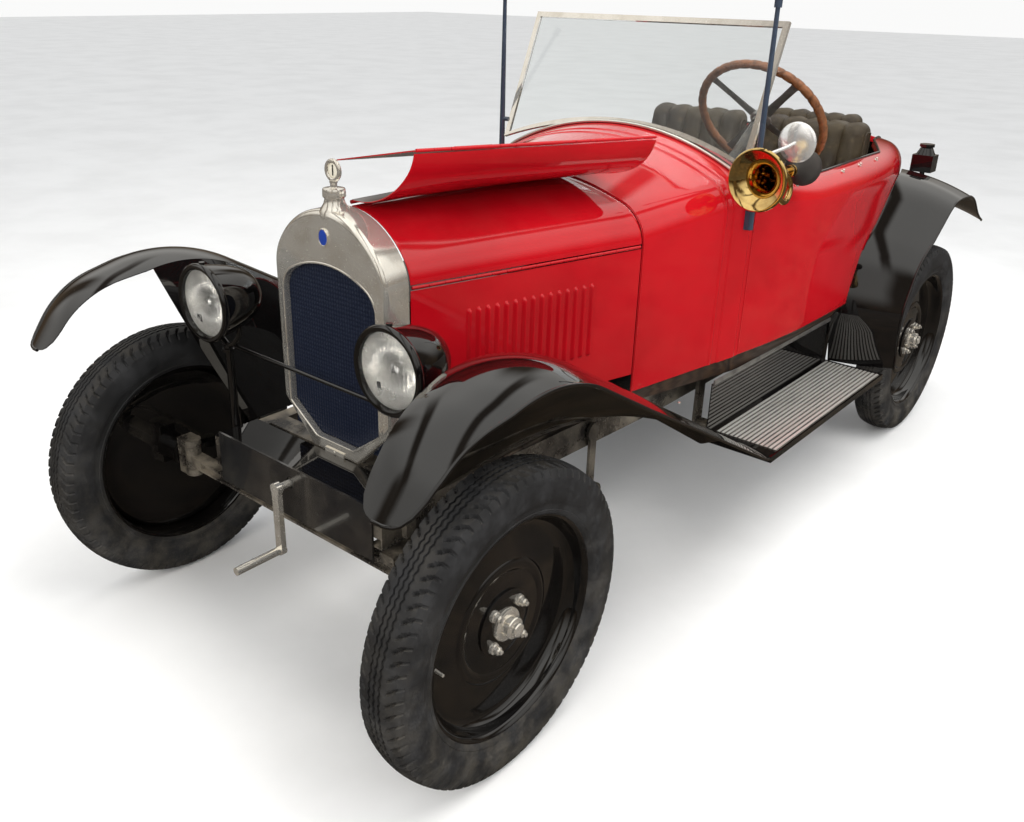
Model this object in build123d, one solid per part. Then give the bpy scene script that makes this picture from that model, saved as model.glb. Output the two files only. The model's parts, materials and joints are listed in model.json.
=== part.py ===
from build123d import *
from collections import namedtuple
import math
import os

# Open three-seat tourer of the mid 1920s, in millimetres.
# The car faces -Y, +X is its left side and +Z is up, with the ground at z = 0.
# Everything is drawn by station, the distance behind the front axle, and moved to its place on export.

# Overall sizes
OVERALL_LENGTH = 3200.0
FRONT_OVERHANG = 340.0
WHEELBASE = 2400.0
TRACK = 1190.0
REAR_END = OVERALL_LENGTH - FRONT_OVERHANG

# Tyres and wheels
TYRE_RADIUS = 357.5
TYRE_SECTION = 115.0
RIM_RADIUS = 242.0
RIM_WIDTH = 84.0
DISC_THICKNESS = 4.0
DISC_RECESS = 36.0
HUB_RADIUS = 38.0
STUD_CIRCLE = 56.0
STUD_COUNT = 4
DRUM_RADIUS = 140.0
DRUM_WIDTH = 44.0
HUB_DEPTH = 40.0
BEAD_LIFT = 3.3
BEAD_HALF = 34.0
FLANGE_LIFT = 8.0
RUNNING_FIT = 0.05
MOVING_GAP = 5.0
SEAT_GAP = 0.3

# Front axle and steering
KINGPIN_X = 520.0
KINGPIN_RADIUS = 9.0
STUB_RADIUS = 14.0
AXLE_BOSS_RADIUS = 22.0
AXLE_BOSS_BOTTOM = 325.0
AXLE_BOSS_TOP = 390.0
EAR_RADIUS = 24.0
EAR_THICKNESS = 18.0
EAR_GAP = 2.0
STEERING_ARM = 140.0
DRAG_ARM = 165.0
LINK_PIN_RADIUS = 6.0
DROP_ARM_STATION = 680.0
DROP_ARM_Z = 475.0
DROP_ARM_LENGTH = 180.0
DROP_PIN_RADIUS = 7.0
COLUMN_X = 225.0
COLUMN_RADIUS = 19.0
COLUMN_ANGLE = 35.0
STEERING_WHEEL_STATION = 1700.0
STEERING_WHEEL_Z = 1190.0
STEERING_WHEEL_RADIUS = 205.0
STEERING_RIM_RADIUS = 14.0

# Chassis
RAIL_TOP = 510.0
RAIL_HEIGHT = 80.0
RAIL_FLANGE = 40.0
RAIL_SHEET = 4.0
RAIL_FRONT_X = 306.0
RAIL_REAR_X = 345.0
RAIL_FRONT = -60.0
RAIL_REAR = 2440.0
CROSS_TOP = RAIL_TOP
CROSS_HEIGHT = 60.0
CROSS_WIDTH = 50.0
CROSS_STATIONS = (1120.0, 1560.0, 2060.0, 2390.0)
CASING_RADIUS = 88.0
SILENCER_RADIUS = 60.0
FRONT_PAD_TOP = 380.0
REAR_PAD_LIFT = 42.0

# Radiator and bonnet
SHELL_FRONT = 75.0
SHELL_BACK = 149.0
SHELL_SHEET = 4.0
SHELL_BOTTOM = RAIL_TOP
BONNET_FRONT = SHELL_BACK + MOVING_GAP
SCUTTLE_FRONT = 834.0
BONNET_REAR = SCUTTLE_FRONT - MOVING_GAP
BONNET_SHEET = 3.0
BONNET_BOTTOM = 600.0
HINGE_LIFT = 6.0
KNUCKLE_RADIUS = 4.5
HINGE_PIN_RADIUS = 2.0
HINGE_KNUCKLES = 7
OPEN_ANGLE = 187.0
FLAP_FOLD = 108.0
LOUVRE_COUNT = 15
LOUVRE_PITCH = 26.0
LOUVRE_FIRST = 300.0
LOUVRE_BOTTOM = 690.0
LOUVRE_HEIGHT = 190.0
LOUVRE_DEPTH = 7.0

# Body
BODY_WALL = 22.0
FIREWALL = 6.0
TUB_FRONT = 1262.0
BODY_BOTTOM = 562.0
SCUTTLE_BOTTOM = 546.0
SILL_OUTER = 455.0
SILL_DEPTH = 22.0
TAIL_FLOOR = REAR_END - 420.0
FLOOR_TOP = 530.0
OPENING_HALF = 430.0
OPENING_REAR = REAR_END - 160.0
DOOR_FRONT = 1296.0
DOOR_REAR = 1740.0
DOOR_BOTTOM = 590.0
DOOR_SKIN = 462.0
DOOR_HINGE_RADIUS = 8.0
DOOR_PIN_RADIUS = 3.5

# Windscreen
SCREEN_STATION = 1212.0
SCREEN_HALF = 432.0
SCREEN_END_Z = 1112.0
SCREEN_CENTRE_Z = 1190.0
SCREEN_TOP_Z = 1488.0
SCREEN_LEAN = 22.6
SCREEN_BAR = 16.0
SCREEN_DEPTH = 12.0
GLASS_THICKNESS = 6.0
POST_X = 457.0
POST_STATION = 1226.0
POST_TOP = 1550.0
POST_BOTTOM = 950.0
POST_FOOT_RADIUS = 10.0
POST_TIP_RADIUS = 6.0

# Wings and running boards
WING_SHEET = 3.0
WING_INNER = 500.0
WING_OUTER = 690.0
WING_CREST = WING_OUTER - 95
BOARD_INNER = 455.0
BOARD_OUTER = 664.0
BOARD_TOP = 345.0
BOARD_THICKNESS = 20.0
BOARD_FRONT = 1120.0
BOARD_REAR = WHEELBASE - 412
REAR_WING_FOOT = BOARD_REAR + 24
TREAD_HEIGHT = 3.0
TREAD_RIBS = 14

# Lamps and fittings
LAMP_X = 321.0
LAMP_Z = 853.0
LAMP_STATION = -43.0
LAMP_RADIUS = 95.0
LENS_RADIUS = 83.0
LAMP_DEPTH = 150.0
PLATE_HALF = 280.0
PLATE_BOTTOM = 396.0
PLATE_TOP = 531.0
PLATE_STATION = -66.0
HORN_PLACE = (505.0, 1129.0, 1105.0)
HORN_TAIL = 215.0
CRANK_Z = 490.0
CRANK_RADIUS = 9.0
CRANK_ARM = 165.0

Section = namedtuple("Section", "station half_width shoulder crown corner bottom")

# Hoop sections: station, half width, shoulder height, crown height, corner radius and bottom height
BONNET_SECTIONS = (
    Section(BONNET_FRONT, 190.0, 955.0, 1110.0, 110.0, BONNET_BOTTOM),
    Section(BONNET_REAR, 355.0, 955.0, 1110.0, 110.0, BONNET_BOTTOM),
)
SCUTTLE_SECTIONS = (
    Section(SCUTTLE_FRONT, 355.0, 955.0, 1110.0, 110.0, SCUTTLE_BOTTOM),
    Section(TUB_FRONT, 452.0, 1010.0, 1198.0, 100.0, BODY_BOTTOM),
)
TUB_SECTIONS = (
    Section(TUB_FRONT, 452.0, 1010.0, 1198.0, 100.0, BODY_BOTTOM),
    Section(1450.0, 478.0, 985.0, 1140.0, 88.0, BODY_BOTTOM + 2),
    Section(1650.0, 494.0, 968.0, 1098.0, 78.0, BODY_BOTTOM + 5),
    Section(REAR_END - 760, 498.0, 975.0, 1090.0, 75.0, BODY_BOTTOM + 11),
    Section(REAR_END - 530, 474.0, 978.0, 1090.0, 75.0, BODY_BOTTOM + 16),
    Section(REAR_END - 340, 420.0, 975.0, 1082.0, 74.0, BODY_BOTTOM + 32),
    Section(REAR_END - 180, 345.0, 965.0, 1068.0, 70.0, BODY_BOTTOM + 58),
    Section(REAR_END - 80, 262.0, 945.0, 1044.0, 64.0, BODY_BOTTOM + 90),
    Section(REAR_END - 25, 186.0, 925.0, 1016.0, 58.0, BODY_BOTTOM + 120),
    Section(REAR_END, 120.0, 905.0, 986.0, 50.0, BODY_BOTTOM + 150),
)
SHELL_SECTION = Section(SHELL_FRONT, 190.0, 955.0, 1110.0, 110.0, SHELL_BOTTOM)
CORE_OPENING = Section(SHELL_FRONT, 158.0, 900.0, 985.0, 60.0, 545.0)
SHELL_CUT = ((172.0, 600.0), (80.0, SHELL_BOTTOM))
CORE_CUT = ((158.0, 612.0), (66.0, 545.0))
CORE_FIN_PITCH = 12.0
CORE_FIN_DEPTH = 6.0


def save(name, shape):
    """Write one node to its own file, moved from stations to the part's frame."""
    shift = FRONT_OVERHANG - OVERALL_LENGTH / 2
    placed = shape.moved(Location((0, shift, 0)))
    os.makedirs("parts", exist_ok=True)
    export_step(placed, f"parts/{name}.step")
    return placed


def box(x0, x1, y0, y1, z0, z1):
    """A block between two corners."""
    size = (abs(x1 - x0), abs(y1 - y0), abs(z1 - z0))
    centre = ((x0 + x1) / 2, (y0 + y1) / 2, (z0 + z1) / 2)
    return Pos(*centre) * Box(*size)


def rod(start, end, radius):
    """A round bar from one point to another."""
    a = Vector(*start)
    b = Vector(*end)
    plane = Plane(origin=a, z_dir=(b - a).normalized())
    return extrude(plane * Circle(radius), amount=(b - a).length)


def taper(start, end, start_radius, end_radius):
    """A round bar that changes its radius along its length."""
    a = Vector(*start)
    b = Vector(*end)
    plane = Plane(origin=a, z_dir=(b - a).normalized())
    height = (b - a).length
    cone = Cone(start_radius, end_radius, height, align=(Align.CENTER, Align.CENTER, Align.MIN))
    return plane * cone


def mirror_x(shape):
    """The same shape on the car's other side."""
    return mirror(shape, about=Plane.YZ)


def plan(points, z0, z1):
    """A slab whose outline in plan is a polygon of (x, station) points."""
    outline = make_face(Polyline(*[(x, y, z0) for x, y in points], close=True))
    return extrude(outline, amount=z1 - z0, dir=(0, 0, 1))


def profile(points, x0, x1):
    """A prism whose outline from the side is a polygon of (station, z) points."""
    outline = make_face(Polyline(*[(x0, y, z) for y, z in points], close=True))
    return extrude(outline, amount=x1 - x0, dir=(1, 0, 0))


def rounded_plan(points, radii, z0, z1):
    """A slab whose outline in plan has rounded corners."""
    line = FilletPolyline(*[(x, y, z0) for x, y in points], radius=radii, close=True)
    return extrude(make_face(line), amount=z1 - z0, dir=(0, 0, 1))


def hoop_geometry(section, inset=0.0):
    """Crown radius, corner angle and centre offsets of one hoop."""
    half = section.half_width - inset
    corner = section.corner - inset
    flat = half - corner
    rise = section.crown - inset - section.shoulder
    crown_radius = (flat ** 2 + rise ** 2 - corner ** 2) / (2 * (rise - corner))
    angle = math.atan2(crown_radius - rise, flat)
    return half, corner, flat, crown_radius, angle


def section_at(sections, station):
    """The hoop between two neighbours of a ruled table, at any station."""
    for first, second in zip(sections, sections[1:]):
        if station <= second.station:
            break
    t = (station - first.station) / (second.station - first.station)
    values = [a + (b - a) * t for a, b in zip(first[1:], second[1:])]
    return Section(station, *values)


def hoop_face(section, inset=0.0, drop=0.0):
    """Closed hoop outline at its station: flat bottom, upright sides, round corners and a crown."""
    half, corner, flat, crown_radius, angle = hoop_geometry(section, inset)
    y = section.station
    low = section.bottom - drop
    top = section.crown - inset
    tangent = (flat + corner * math.cos(angle), y, section.shoulder + corner * math.sin(angle))
    middle = (flat + corner * math.cos(angle / 2), y, section.shoulder + corner * math.sin(angle / 2))
    shoulder = (half, y, section.shoulder)
    foot = (half, y, low)

    def other(point):
        return (-point[0], point[1], point[2])

    edges = [
        Line(other(foot), foot),
        Line(foot, shoulder),
        ThreePointArc(shoulder, middle, tangent),
        ThreePointArc(tangent, (0, y, top), other(tangent)),
        ThreePointArc(other(tangent), other(middle), other(shoulder)),
        Line(other(shoulder), other(foot)),
    ]
    return make_face(Wire(edges))


def hoop_loft(sections, inset=0.0, drop=0.0):
    """Solid ruled through a table of hoops."""
    faces = [hoop_face(section, inset, drop) for section in sections]
    return loft(sections=faces, ruled=True)


def hoop_prism(section, depth, inset=0.0, drop=0.0):
    """Hoop of one section, drawn straight back."""
    return extrude(hoop_face(section, inset, drop), amount=depth, dir=(0, 1, 0))


def stretched(sections, extra):
    """The same table with its two ends moved outward, for cutting tools."""
    first, last = sections[0], sections[-1]
    head = section_at(sections, first.station)._replace(station=first.station - extra)
    tail = last._replace(station=last.station + extra)
    return (head,) + tuple(sections) + (tail,)


def turned(shape, point, direction, degrees):
    """Shape rotated about a line in space."""
    return shape.rotate(Axis(point, direction), degrees)


# Chassis

def rail_outer(station):
    """Outer face of the side rail at a station: parallel ends with a straight taper between."""
    start, finish = 150.0, 1000.0
    t = min(max((station - start) / (finish - start), 0.0), 1.0)
    return RAIL_FRONT_X + (RAIL_REAR_X - RAIL_FRONT_X) * t


def rail_strip(width, z0, z1):
    """Plan strip of the left rail, inward from its outer face."""
    stations = (RAIL_FRONT, 150.0, 1000.0, RAIL_REAR)
    outer = [(rail_outer(s), s) for s in stations]
    inner = [(rail_outer(s) - width, s) for s in reversed(stations)]
    return plan(outer + inner, z0, z1)


def side_rail():
    """One C-section side rail, open inward."""
    low = RAIL_TOP - RAIL_HEIGHT
    web = rail_strip(RAIL_SHEET, low, RAIL_TOP)
    top = rail_strip(RAIL_FLANGE, RAIL_TOP - RAIL_SHEET, RAIL_TOP)
    bottom = rail_strip(RAIL_FLANGE, low, low + RAIL_SHEET)
    return web + top + bottom


def board_bracket(station):
    """Arm from the rail down and out below the running board."""
    x = rail_outer(station)
    drop = BOARD_TOP - BOARD_THICKNESS
    upright = box(x, x + 12, station - 20, station + 20, drop - 20, RAIL_TOP - 20)
    arm = box(x, BOARD_OUTER - 30, station - 20, station + 20, drop - 20, drop)
    return upright + arm


def chassis_frame():
    """Side rails, cross members and brackets as one welded frame."""
    rail = side_rail()
    hole_x = rail_outer(DROP_ARM_STATION)
    start = (hole_x - 20, DROP_ARM_STATION, DROP_ARM_Z)
    shaft_hole = rod(start, (hole_x + 20, DROP_ARM_STATION, DROP_ARM_Z), 12.5)
    frame = rail - shaft_hole + mirror_x(rail)
    for station in CROSS_STATIONS:
        half = rail_outer(station) - RAIL_SHEET
        member = box(-half, half, station, station + CROSS_WIDTH, CROSS_TOP - CROSS_HEIGHT, CROSS_TOP)
        low = CROSS_TOP - CROSS_HEIGHT + 4
        hollow = box(-half, half, station + 4, station + CROSS_WIDTH, low, CROSS_TOP - 4)
        frame += member - hollow
    half = RAIL_FRONT_X - RAIL_SHEET
    nose = box(-half, half, RAIL_FRONT, RAIL_FRONT + 20, 455, RAIL_TOP)
    foot = box(-half, half, 84, 140, 470, RAIL_TOP)
    bore = rod((0, RAIL_FRONT - 10, CRANK_Z), (0, RAIL_FRONT + 30, CRANK_Z), CRANK_RADIUS + RUNNING_FIT)
    clearance = rod((0, 70, CRANK_Z), (0, 150, CRANK_Z), CRANK_RADIUS + 4)
    frame += nose - bore
    frame += foot - clearance
    for station in (260.0, 590.0):
        half = rail_outer(station) - RAIL_SHEET
        frame += box(-half, half, station, station + 40, 430, 450)
    for station in (1250.0, 1850.0):
        bracket = board_bracket(station)
        frame += bracket + mirror_x(bracket)
    lamp_foot = box(RAIL_FRONT_X, LAMP_X, 0, 30, 440, 500)
    return frame + lamp_foot + mirror_x(lamp_foot)


def engine():
    """Engine and gearbox as one plain mass."""
    block = box(-130, 130, 200, 640, 450, 900)
    gearbox = box(-100, 100, 640, 980, 390, 540)
    return block + gearbox


def leaf_pack(side_x, anchor, tip, top_z, tip_z, leaves, width):
    """Quarter-elliptic spring: leaves of falling length fused in one pack."""
    thickness = 7.0
    pack = None
    for index in range(leaves):
        share = 1.0 - 0.2 * index
        far = anchor + (tip - anchor) * share
        far_z = top_z + (tip_z - top_z) * share
        z_shift = -thickness * index
        points = [
            (anchor, top_z + z_shift),
            (far, far_z + z_shift),
            (far, far_z + z_shift - thickness),
            (anchor, top_z + z_shift - thickness),
        ]
        leaf = profile(points, side_x - width / 2, side_x + width / 2)
        pack = leaf if pack is None else pack + leaf
    return pack


def springs():
    """Four spring packs, from the rails to the axle pads."""
    top = RAIL_TOP - RAIL_HEIGHT
    front = leaf_pack(275.0, 460.0, -20.0, top, FRONT_PAD_TOP + 7, 4, 45.0)
    rear = leaf_pack(318.0, 1950.0, WHEELBASE + 25, top, TYRE_RADIUS + REAR_PAD_LIFT + 7, 4, 45.0)
    left = front + rear
    return left + mirror_x(left)


def front_axle():
    """Beam axle with spring pads, end bosses and fixed kingpins."""
    beam = box(-KINGPIN_X, KINGPIN_X, -18, 18, 334, 366)
    web = box(-KINGPIN_X + 60, KINGPIN_X - 60, 6, 20, 341, 359)
    beam -= web + box(-KINGPIN_X + 60, KINGPIN_X - 60, -20, -6, 341, 359)
    for side in (-1, 1):
        x = side * KINGPIN_X
        beam += rod((x, 0, AXLE_BOSS_BOTTOM), (x, 0, AXLE_BOSS_TOP), AXLE_BOSS_RADIUS)
        low = AXLE_BOSS_BOTTOM - EAR_GAP - EAR_THICKNESS
        high = AXLE_BOSS_TOP + EAR_GAP + EAR_THICKNESS
        beam += rod((x, 0, low - 2), (x, 0, high + 2), KINGPIN_RADIUS)
        pad = box(side * 275 - 24, side * 275 + 24, -20, 20, 360, FRONT_PAD_TOP)
        beam += pad
    return beam


def rear_axle():
    """Rear axle tube with its final drive casing and torque tube."""
    centre = TYRE_RADIUS
    half = TRACK / 2 - 97
    tube = rod((-half, WHEELBASE, centre), (half, WHEELBASE, centre), 32)
    casing = Pos(0, WHEELBASE, centre) * Sphere(CASING_RADIUS)
    torque = taper((0, WHEELBASE - 60, centre), (0, 985, 420), 34, 26)
    axle = tube + casing + torque
    for side in (-1, 1):
        x = side * half
        axle += rod((x, WHEELBASE, centre), (x + side * 5, WHEELBASE, centre), DRUM_RADIUS)
        axle += rod((x, WHEELBASE, centre), (x + side * 110, WHEELBASE, centre), STUB_RADIUS)
        top = centre + REAR_PAD_LIFT
        axle += box(side * 318 - 24, side * 318 + 24, WHEELBASE - 25, WHEELBASE + 25, centre, top)
    return axle


def knuckle(side):
    """Forked knuckle on the kingpin, with its stub axle and steering arm."""
    x = side * KINGPIN_X
    low0 = AXLE_BOSS_BOTTOM - EAR_GAP - EAR_THICKNESS
    low1 = low0 + EAR_THICKNESS
    high0 = AXLE_BOSS_TOP + EAR_GAP
    high1 = high0 + EAR_THICKNESS
    web_in = x + side * 27
    web_out = x + side * 39
    body = box(web_in, web_out, -22, 22, low0, high1)
    for z0, z1 in ((low0, low1), (high0, high1)):
        body += rod((x, 0, z0), (x, 0, z1), EAR_RADIUS)
        body += box(x, web_in, -22, 22, z0, z1)
    body += box(x - 10, x + 10, 0, STEERING_ARM, low0 + 2, low1 - 4)
    body += rod((x, STEERING_ARM, low0 + 2), (x, STEERING_ARM, low1 - 4), 16)
    body += rod((x, STEERING_ARM, low0 + 2), (x, STEERING_ARM, low0 - 20), LINK_PIN_RADIUS)
    if side > 0:
        ball = x - DRAG_ARM
        body += box(ball, x, -10, 10, high0 + 2, high1 - 2)
        body += rod((ball, 0, high0 + 2), (ball, 0, high1 - 2), 15)
        body += rod((ball, 0, high1 - 2), (ball, 0, high1 + 20), LINK_PIN_RADIUS)
    hole = rod((x, 0, low0 - 1), (x, 0, high1 + 1), KINGPIN_RADIUS + RUNNING_FIT)
    stub_end = side * (TRACK / 2 + 27)
    stub = rod((web_out - side * 4, 0, TYRE_RADIUS), (stub_end, 0, TYRE_RADIUS), STUB_RADIUS)
    return body + stub - hole


def track_rod():
    """Rod between the two steering arms, its right eye left free for the linkage to open."""
    top = AXLE_BOSS_BOTTOM - EAR_GAP - EAR_THICKNESS
    z0, z1 = top - 16, top - 1
    middle = (z0 + z1) / 2
    reach = KINGPIN_X - 12
    bar = rod((-reach, STEERING_ARM, middle), (reach, STEERING_ARM, middle), 6.5)
    for side in (-1, 1):
        x = side * KINGPIN_X
        bar += rod((x, STEERING_ARM, z0), (x, STEERING_ARM, z1), 15)
    for side, fit in ((-1, 1.5), (1, RUNNING_FIT)):
        x = side * KINGPIN_X
        bar -= rod((x, STEERING_ARM, z0 - 1), (x, STEERING_ARM, z1 + 1), LINK_PIN_RADIUS + fit)
    return bar


def drop_arm():
    """Arm on the steering box shaft, with the pin that pushes the drag link."""
    x0 = rail_outer(DROP_ARM_STATION) + 8
    x1 = x0 + 8
    low = DROP_ARM_Z - DROP_ARM_LENGTH
    arm = box(x0, x1, DROP_ARM_STATION - 14, DROP_ARM_STATION + 14, low, DROP_ARM_Z)
    arm += rod((x0, DROP_ARM_STATION, DROP_ARM_Z), (x1, DROP_ARM_STATION, DROP_ARM_Z), 24)
    arm += rod((x0, DROP_ARM_STATION, low), (x1, DROP_ARM_STATION, low), 16)
    arm += rod((x1, DROP_ARM_STATION, low), (x1 + 22, DROP_ARM_STATION, low), DROP_PIN_RADIUS)
    start = (x0 - 1, DROP_ARM_STATION, DROP_ARM_Z)
    return arm - rod(start, (x1 + 1, DROP_ARM_STATION, DROP_ARM_Z), 12 + RUNNING_FIT)


def drag_link():
    """Link from the drop arm to the left knuckle, open at its rear eye."""
    x = KINGPIN_X - DRAG_ARM
    z = AXLE_BOSS_TOP + EAR_GAP + EAR_THICKNESS + 8
    low = DROP_ARM_Z - DROP_ARM_LENGTH
    front = rod((x, 0, z - 7), (x, 0, z + 7), 15)
    rear = rod((x - 6.5, DROP_ARM_STATION, low), (x + 6.5, DROP_ARM_STATION, low), 29)
    length = math.hypot(DROP_ARM_STATION, low - z)
    along = (0, DROP_ARM_STATION / length, (low - z) / length)
    start = (x, along[1] * 10, z + along[2] * 10)
    end = (x, DROP_ARM_STATION - along[1] * 26, low - along[2] * 26)
    link = front + rear + rod(start, end, 7)
    link -= rod((x, 0, z - 20), (x, 0, z + 20), LINK_PIN_RADIUS + RUNNING_FIT)
    link -= rod((x - 20, DROP_ARM_STATION, low), (x + 20, DROP_ARM_STATION, low), DROP_PIN_RADIUS + 16)
    return link


# Steering column

def column_direction():
    """Unit vector down the steering column."""
    angle = math.radians(COLUMN_ANGLE)
    return (0.0, -math.cos(angle), -math.sin(angle))


def column_point(distance):
    """Point on the column axis, a distance below the wheel's centre."""
    d = column_direction()
    return (COLUMN_X, STEERING_WHEEL_STATION + d[1] * distance, STEERING_WHEEL_Z + d[2] * distance)


def steering_column():
    """Steering box on the left rail, with its cross shaft and the column tube."""
    housing = box(180, 286, DROP_ARM_STATION - 45, DROP_ARM_STATION + 55, 440, 545)
    inner = rail_outer(DROP_ARM_STATION) - RAIL_SHEET - 1.5
    housing += rod((280, DROP_ARM_STATION, DROP_ARM_Z), (inner, DROP_ARM_STATION, DROP_ARM_Z), 22)
    outer = rail_outer(DROP_ARM_STATION) + 16
    housing += rod((280, DROP_ARM_STATION, DROP_ARM_Z), (outer, DROP_ARM_STATION, DROP_ARM_Z), 12)
    foot = (STEERING_WHEEL_Z - 520) / math.sin(math.radians(COLUMN_ANGLE))
    housing += rod(column_point(40), column_point(foot), COLUMN_RADIUS)
    housing += rod(column_point(-18), column_point(50), 10)
    return housing


def steering_wheel():
    """Rim, four flat spokes and hub on the column's end."""
    plane = Plane(origin=column_point(0), z_dir=(0, -column_direction()[1], -column_direction()[2]))
    rim = Torus(STEERING_WHEEL_RADIUS, STEERING_RIM_RADIUS)
    hub = Cylinder(34, 30)
    wheel = rim + hub
    for turn in range(4):
        spoke = Pos(STEERING_WHEEL_RADIUS / 2, 0, 0) * Box(STEERING_WHEEL_RADIUS - 8, 26, 5)
        wheel += Rot(0, 0, 45 + 90 * turn) * spoke
    wheel -= Cylinder(10 + RUNNING_FIT, 60)
    return plane * wheel


# Wheels

def wheel_place(side, station):
    """Plane at a wheel's centre, its z axis pointing outward."""
    return Plane(origin=(side * TRACK / 2, station, TYRE_RADIUS), x_dir=(0, 0, 1), z_dir=(side, 0, 0))


def tyre_solid():
    """Round-shouldered tyre, drawn about its own axis."""
    half = TYRE_SECTION / 2
    bead = RIM_RADIUS + BEAD_LIFT
    seat_half = BEAD_HALF
    tread = 40.0
    shoulder = TYRE_RADIUS - 6
    belly = (bead + TYRE_RADIUS) / 2
    lines = [
        Line((bead, 0, -seat_half), (bead, 0, seat_half)),
        ThreePointArc((bead, 0, seat_half), (belly - 28, 0, half - 5), (belly, 0, half)),
        ThreePointArc((belly, 0, half), (TYRE_RADIUS - 22, 0, half - 5), (shoulder, 0, tread)),
        ThreePointArc((shoulder, 0, tread), (TYRE_RADIUS, 0, 0), (shoulder, 0, -tread)),
        ThreePointArc((shoulder, 0, -tread), (TYRE_RADIUS - 22, 0, 5 - half), (belly, 0, -half)),
        ThreePointArc((belly, 0, -half), (belly - 28, 0, 5 - half), (bead, 0, -seat_half)),
    ]
    return revolve(make_face(Wire([line.edge() for line in lines])), axis=Axis.Z)


def wheel_solid(rear):
    """Pressed disc wheel with its rim, hub, nuts and cap."""
    half = RIM_WIDTH / 2
    rim = RIM_RADIUS
    face = half - DISC_RECESS
    t = DISC_THICKNESS
    flange_radius = rim + FLANGE_LIFT
    outline = [
        (HUB_RADIUS - 4, face),
        (rim - 24, face - 6),
        (rim - 9, face + 3),
        (rim, half - 8),
        (rim + 1, half - 2),
        (rim - 4, half - 2),
        (rim - 13, face + 6),
        (rim - 26, face - 2),
        (HUB_RADIUS - 4, face + t),
    ]
    barrel = [
        (rim - 1, -half - t),
        (flange_radius, -half - t),
        (flange_radius, -half),
        (rim + 3, -half),
        (rim + 3, half),
        (flange_radius, half),
        (flange_radius, half + t),
        (rim - 1, half + t),
    ]
    wheel = revolve(make_face(Polyline(*[(r, 0, z) for r, z in outline], close=True)), axis=Axis.Z)
    wheel += revolve(make_face(Polyline(*[(r, 0, z) for r, z in barrel], close=True)), axis=Axis.Z)
    hub_back = -32.0 if not rear else -60.0
    hub = Pos(0, 0, (hub_back + face + t) / 2) * Cylinder(HUB_RADIUS, face + t - hub_back)
    flange = Pos(0, 0, face - 5) * Cylinder(STUD_CIRCLE + 20, 8)
    cap = Pos(0, 0, face + 18) * Cylinder(25, 34) + Pos(0, 0, face + 38) * Cylinder(18, 22)
    wheel += hub + flange + cap
    for index in range(STUD_COUNT):
        place = Rot(0, 0, 45 + 360 / STUD_COUNT * index) * Pos(STUD_CIRCLE, 0, face + 2)
        nut = Cone(12, 8, 22, align=(Align.CENTER, Align.CENTER, Align.MIN))
        wheel += place * nut
    if rear:
        drum = Pos(0, 0, -HUB_DEPTH - DRUM_WIDTH / 2) * Cylinder(DRUM_RADIUS, DRUM_WIDTH)
        inner = Pos(0, 0, -HUB_DEPTH - DRUM_WIDTH / 2 - 4) * Cylinder(DRUM_RADIUS - 5, DRUM_WIDTH)
        wheel += drum - inner
        wheel += Pos(0, 0, -HUB_DEPTH / 2) * Cylinder(HUB_RADIUS + 6, HUB_DEPTH + 2)
    bore_depth = 30.0 if not rear else 16.0
    bore = Pos(0, 0, -100) * Cylinder(STUB_RADIUS + RUNNING_FIT, 200 + 2 * bore_depth)
    return wheel - bore


# Radiator

def corner_cut(line, extra, y0, y1):
    """Two wedges that cut the lower corners outside a line of (x, z) points."""
    (x0, z0), (x1, z1) = line
    slope = (x0 - x1) / (z0 - z1)
    low = z1 - 40
    high = z0 + (extra + 30) / slope
    points = [
        (x1 + slope * (low - z1), low), (x1 + slope * (low - z1) + 500, low),
        (x0 + slope * (high - z0) + 500, high), (x0 + slope * (high - z0), high),
    ]
    outline = make_face(Polyline(*[(x, y0, z) for x, z in points], close=True))
    wedge = extrude(outline, amount=y1 - y0, dir=(0, 1, 0))
    return wedge + mirror_x(wedge)


def radiator_shell():
    """Plated shell: a hoop with an arched window and cut lower corners, open at the back."""
    depth = SHELL_BACK - SHELL_FRONT
    shell_cut = corner_cut(SHELL_CUT, 18, SHELL_FRONT - 20, SHELL_BACK + 20)
    outer = hoop_prism(SHELL_SECTION, depth) - shell_cut
    edges = outer.faces().sort_by(Axis.Y)[0].edges()
    upper = [e for e in edges if e.center().Z > SHELL_BOTTOM + 5]
    outer = fillet(upper, 16)
    inner_section = SHELL_SECTION._replace(station=SHELL_FRONT + 14)
    inner = hoop_prism(inner_section, depth, SHELL_SHEET, -SHELL_SHEET)
    inner -= Pos(-SHELL_SHEET, 0, SHELL_SHEET) * shell_cut + Pos(SHELL_SHEET, 0, SHELL_SHEET) * shell_cut
    window = hoop_prism(CORE_OPENING._replace(station=SHELL_FRONT - 10), 40)
    window -= corner_cut(CORE_CUT, 0, SHELL_FRONT - 20, SHELL_BACK + 20)
    shell = outer - inner - window
    foot = box(-34, 34, SHELL_FRONT - 3, SHELL_FRONT, SHELL_BOTTOM, SHELL_BOTTOM + 32)
    return shell + foot + hinge_ear(SHELL_BACK - 12, SHELL_BACK)


def core_fins():
    """Plan form of the core, its front folded into upright fins."""
    half = SHELL_SECTION.half_width
    front = SHELL_FRONT + 15
    count = int(half / CORE_FIN_PITCH)
    peaks = [(CORE_FIN_PITCH * index, front) for index in range(-count, count + 1)]
    folds = [(x + CORE_FIN_PITCH / 2, front + CORE_FIN_DEPTH) for x, _ in peaks[:-1]]
    line = [peaks[0]]
    for fold, peak in zip(folds, peaks[1:]):
        line += [fold, peak]
    rear = SHELL_BACK
    corners = [(half, front), (half, rear), (-half, rear), (-half, front)]
    return plan(line + corners, SHELL_BOTTOM - 5, 1200)


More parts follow.
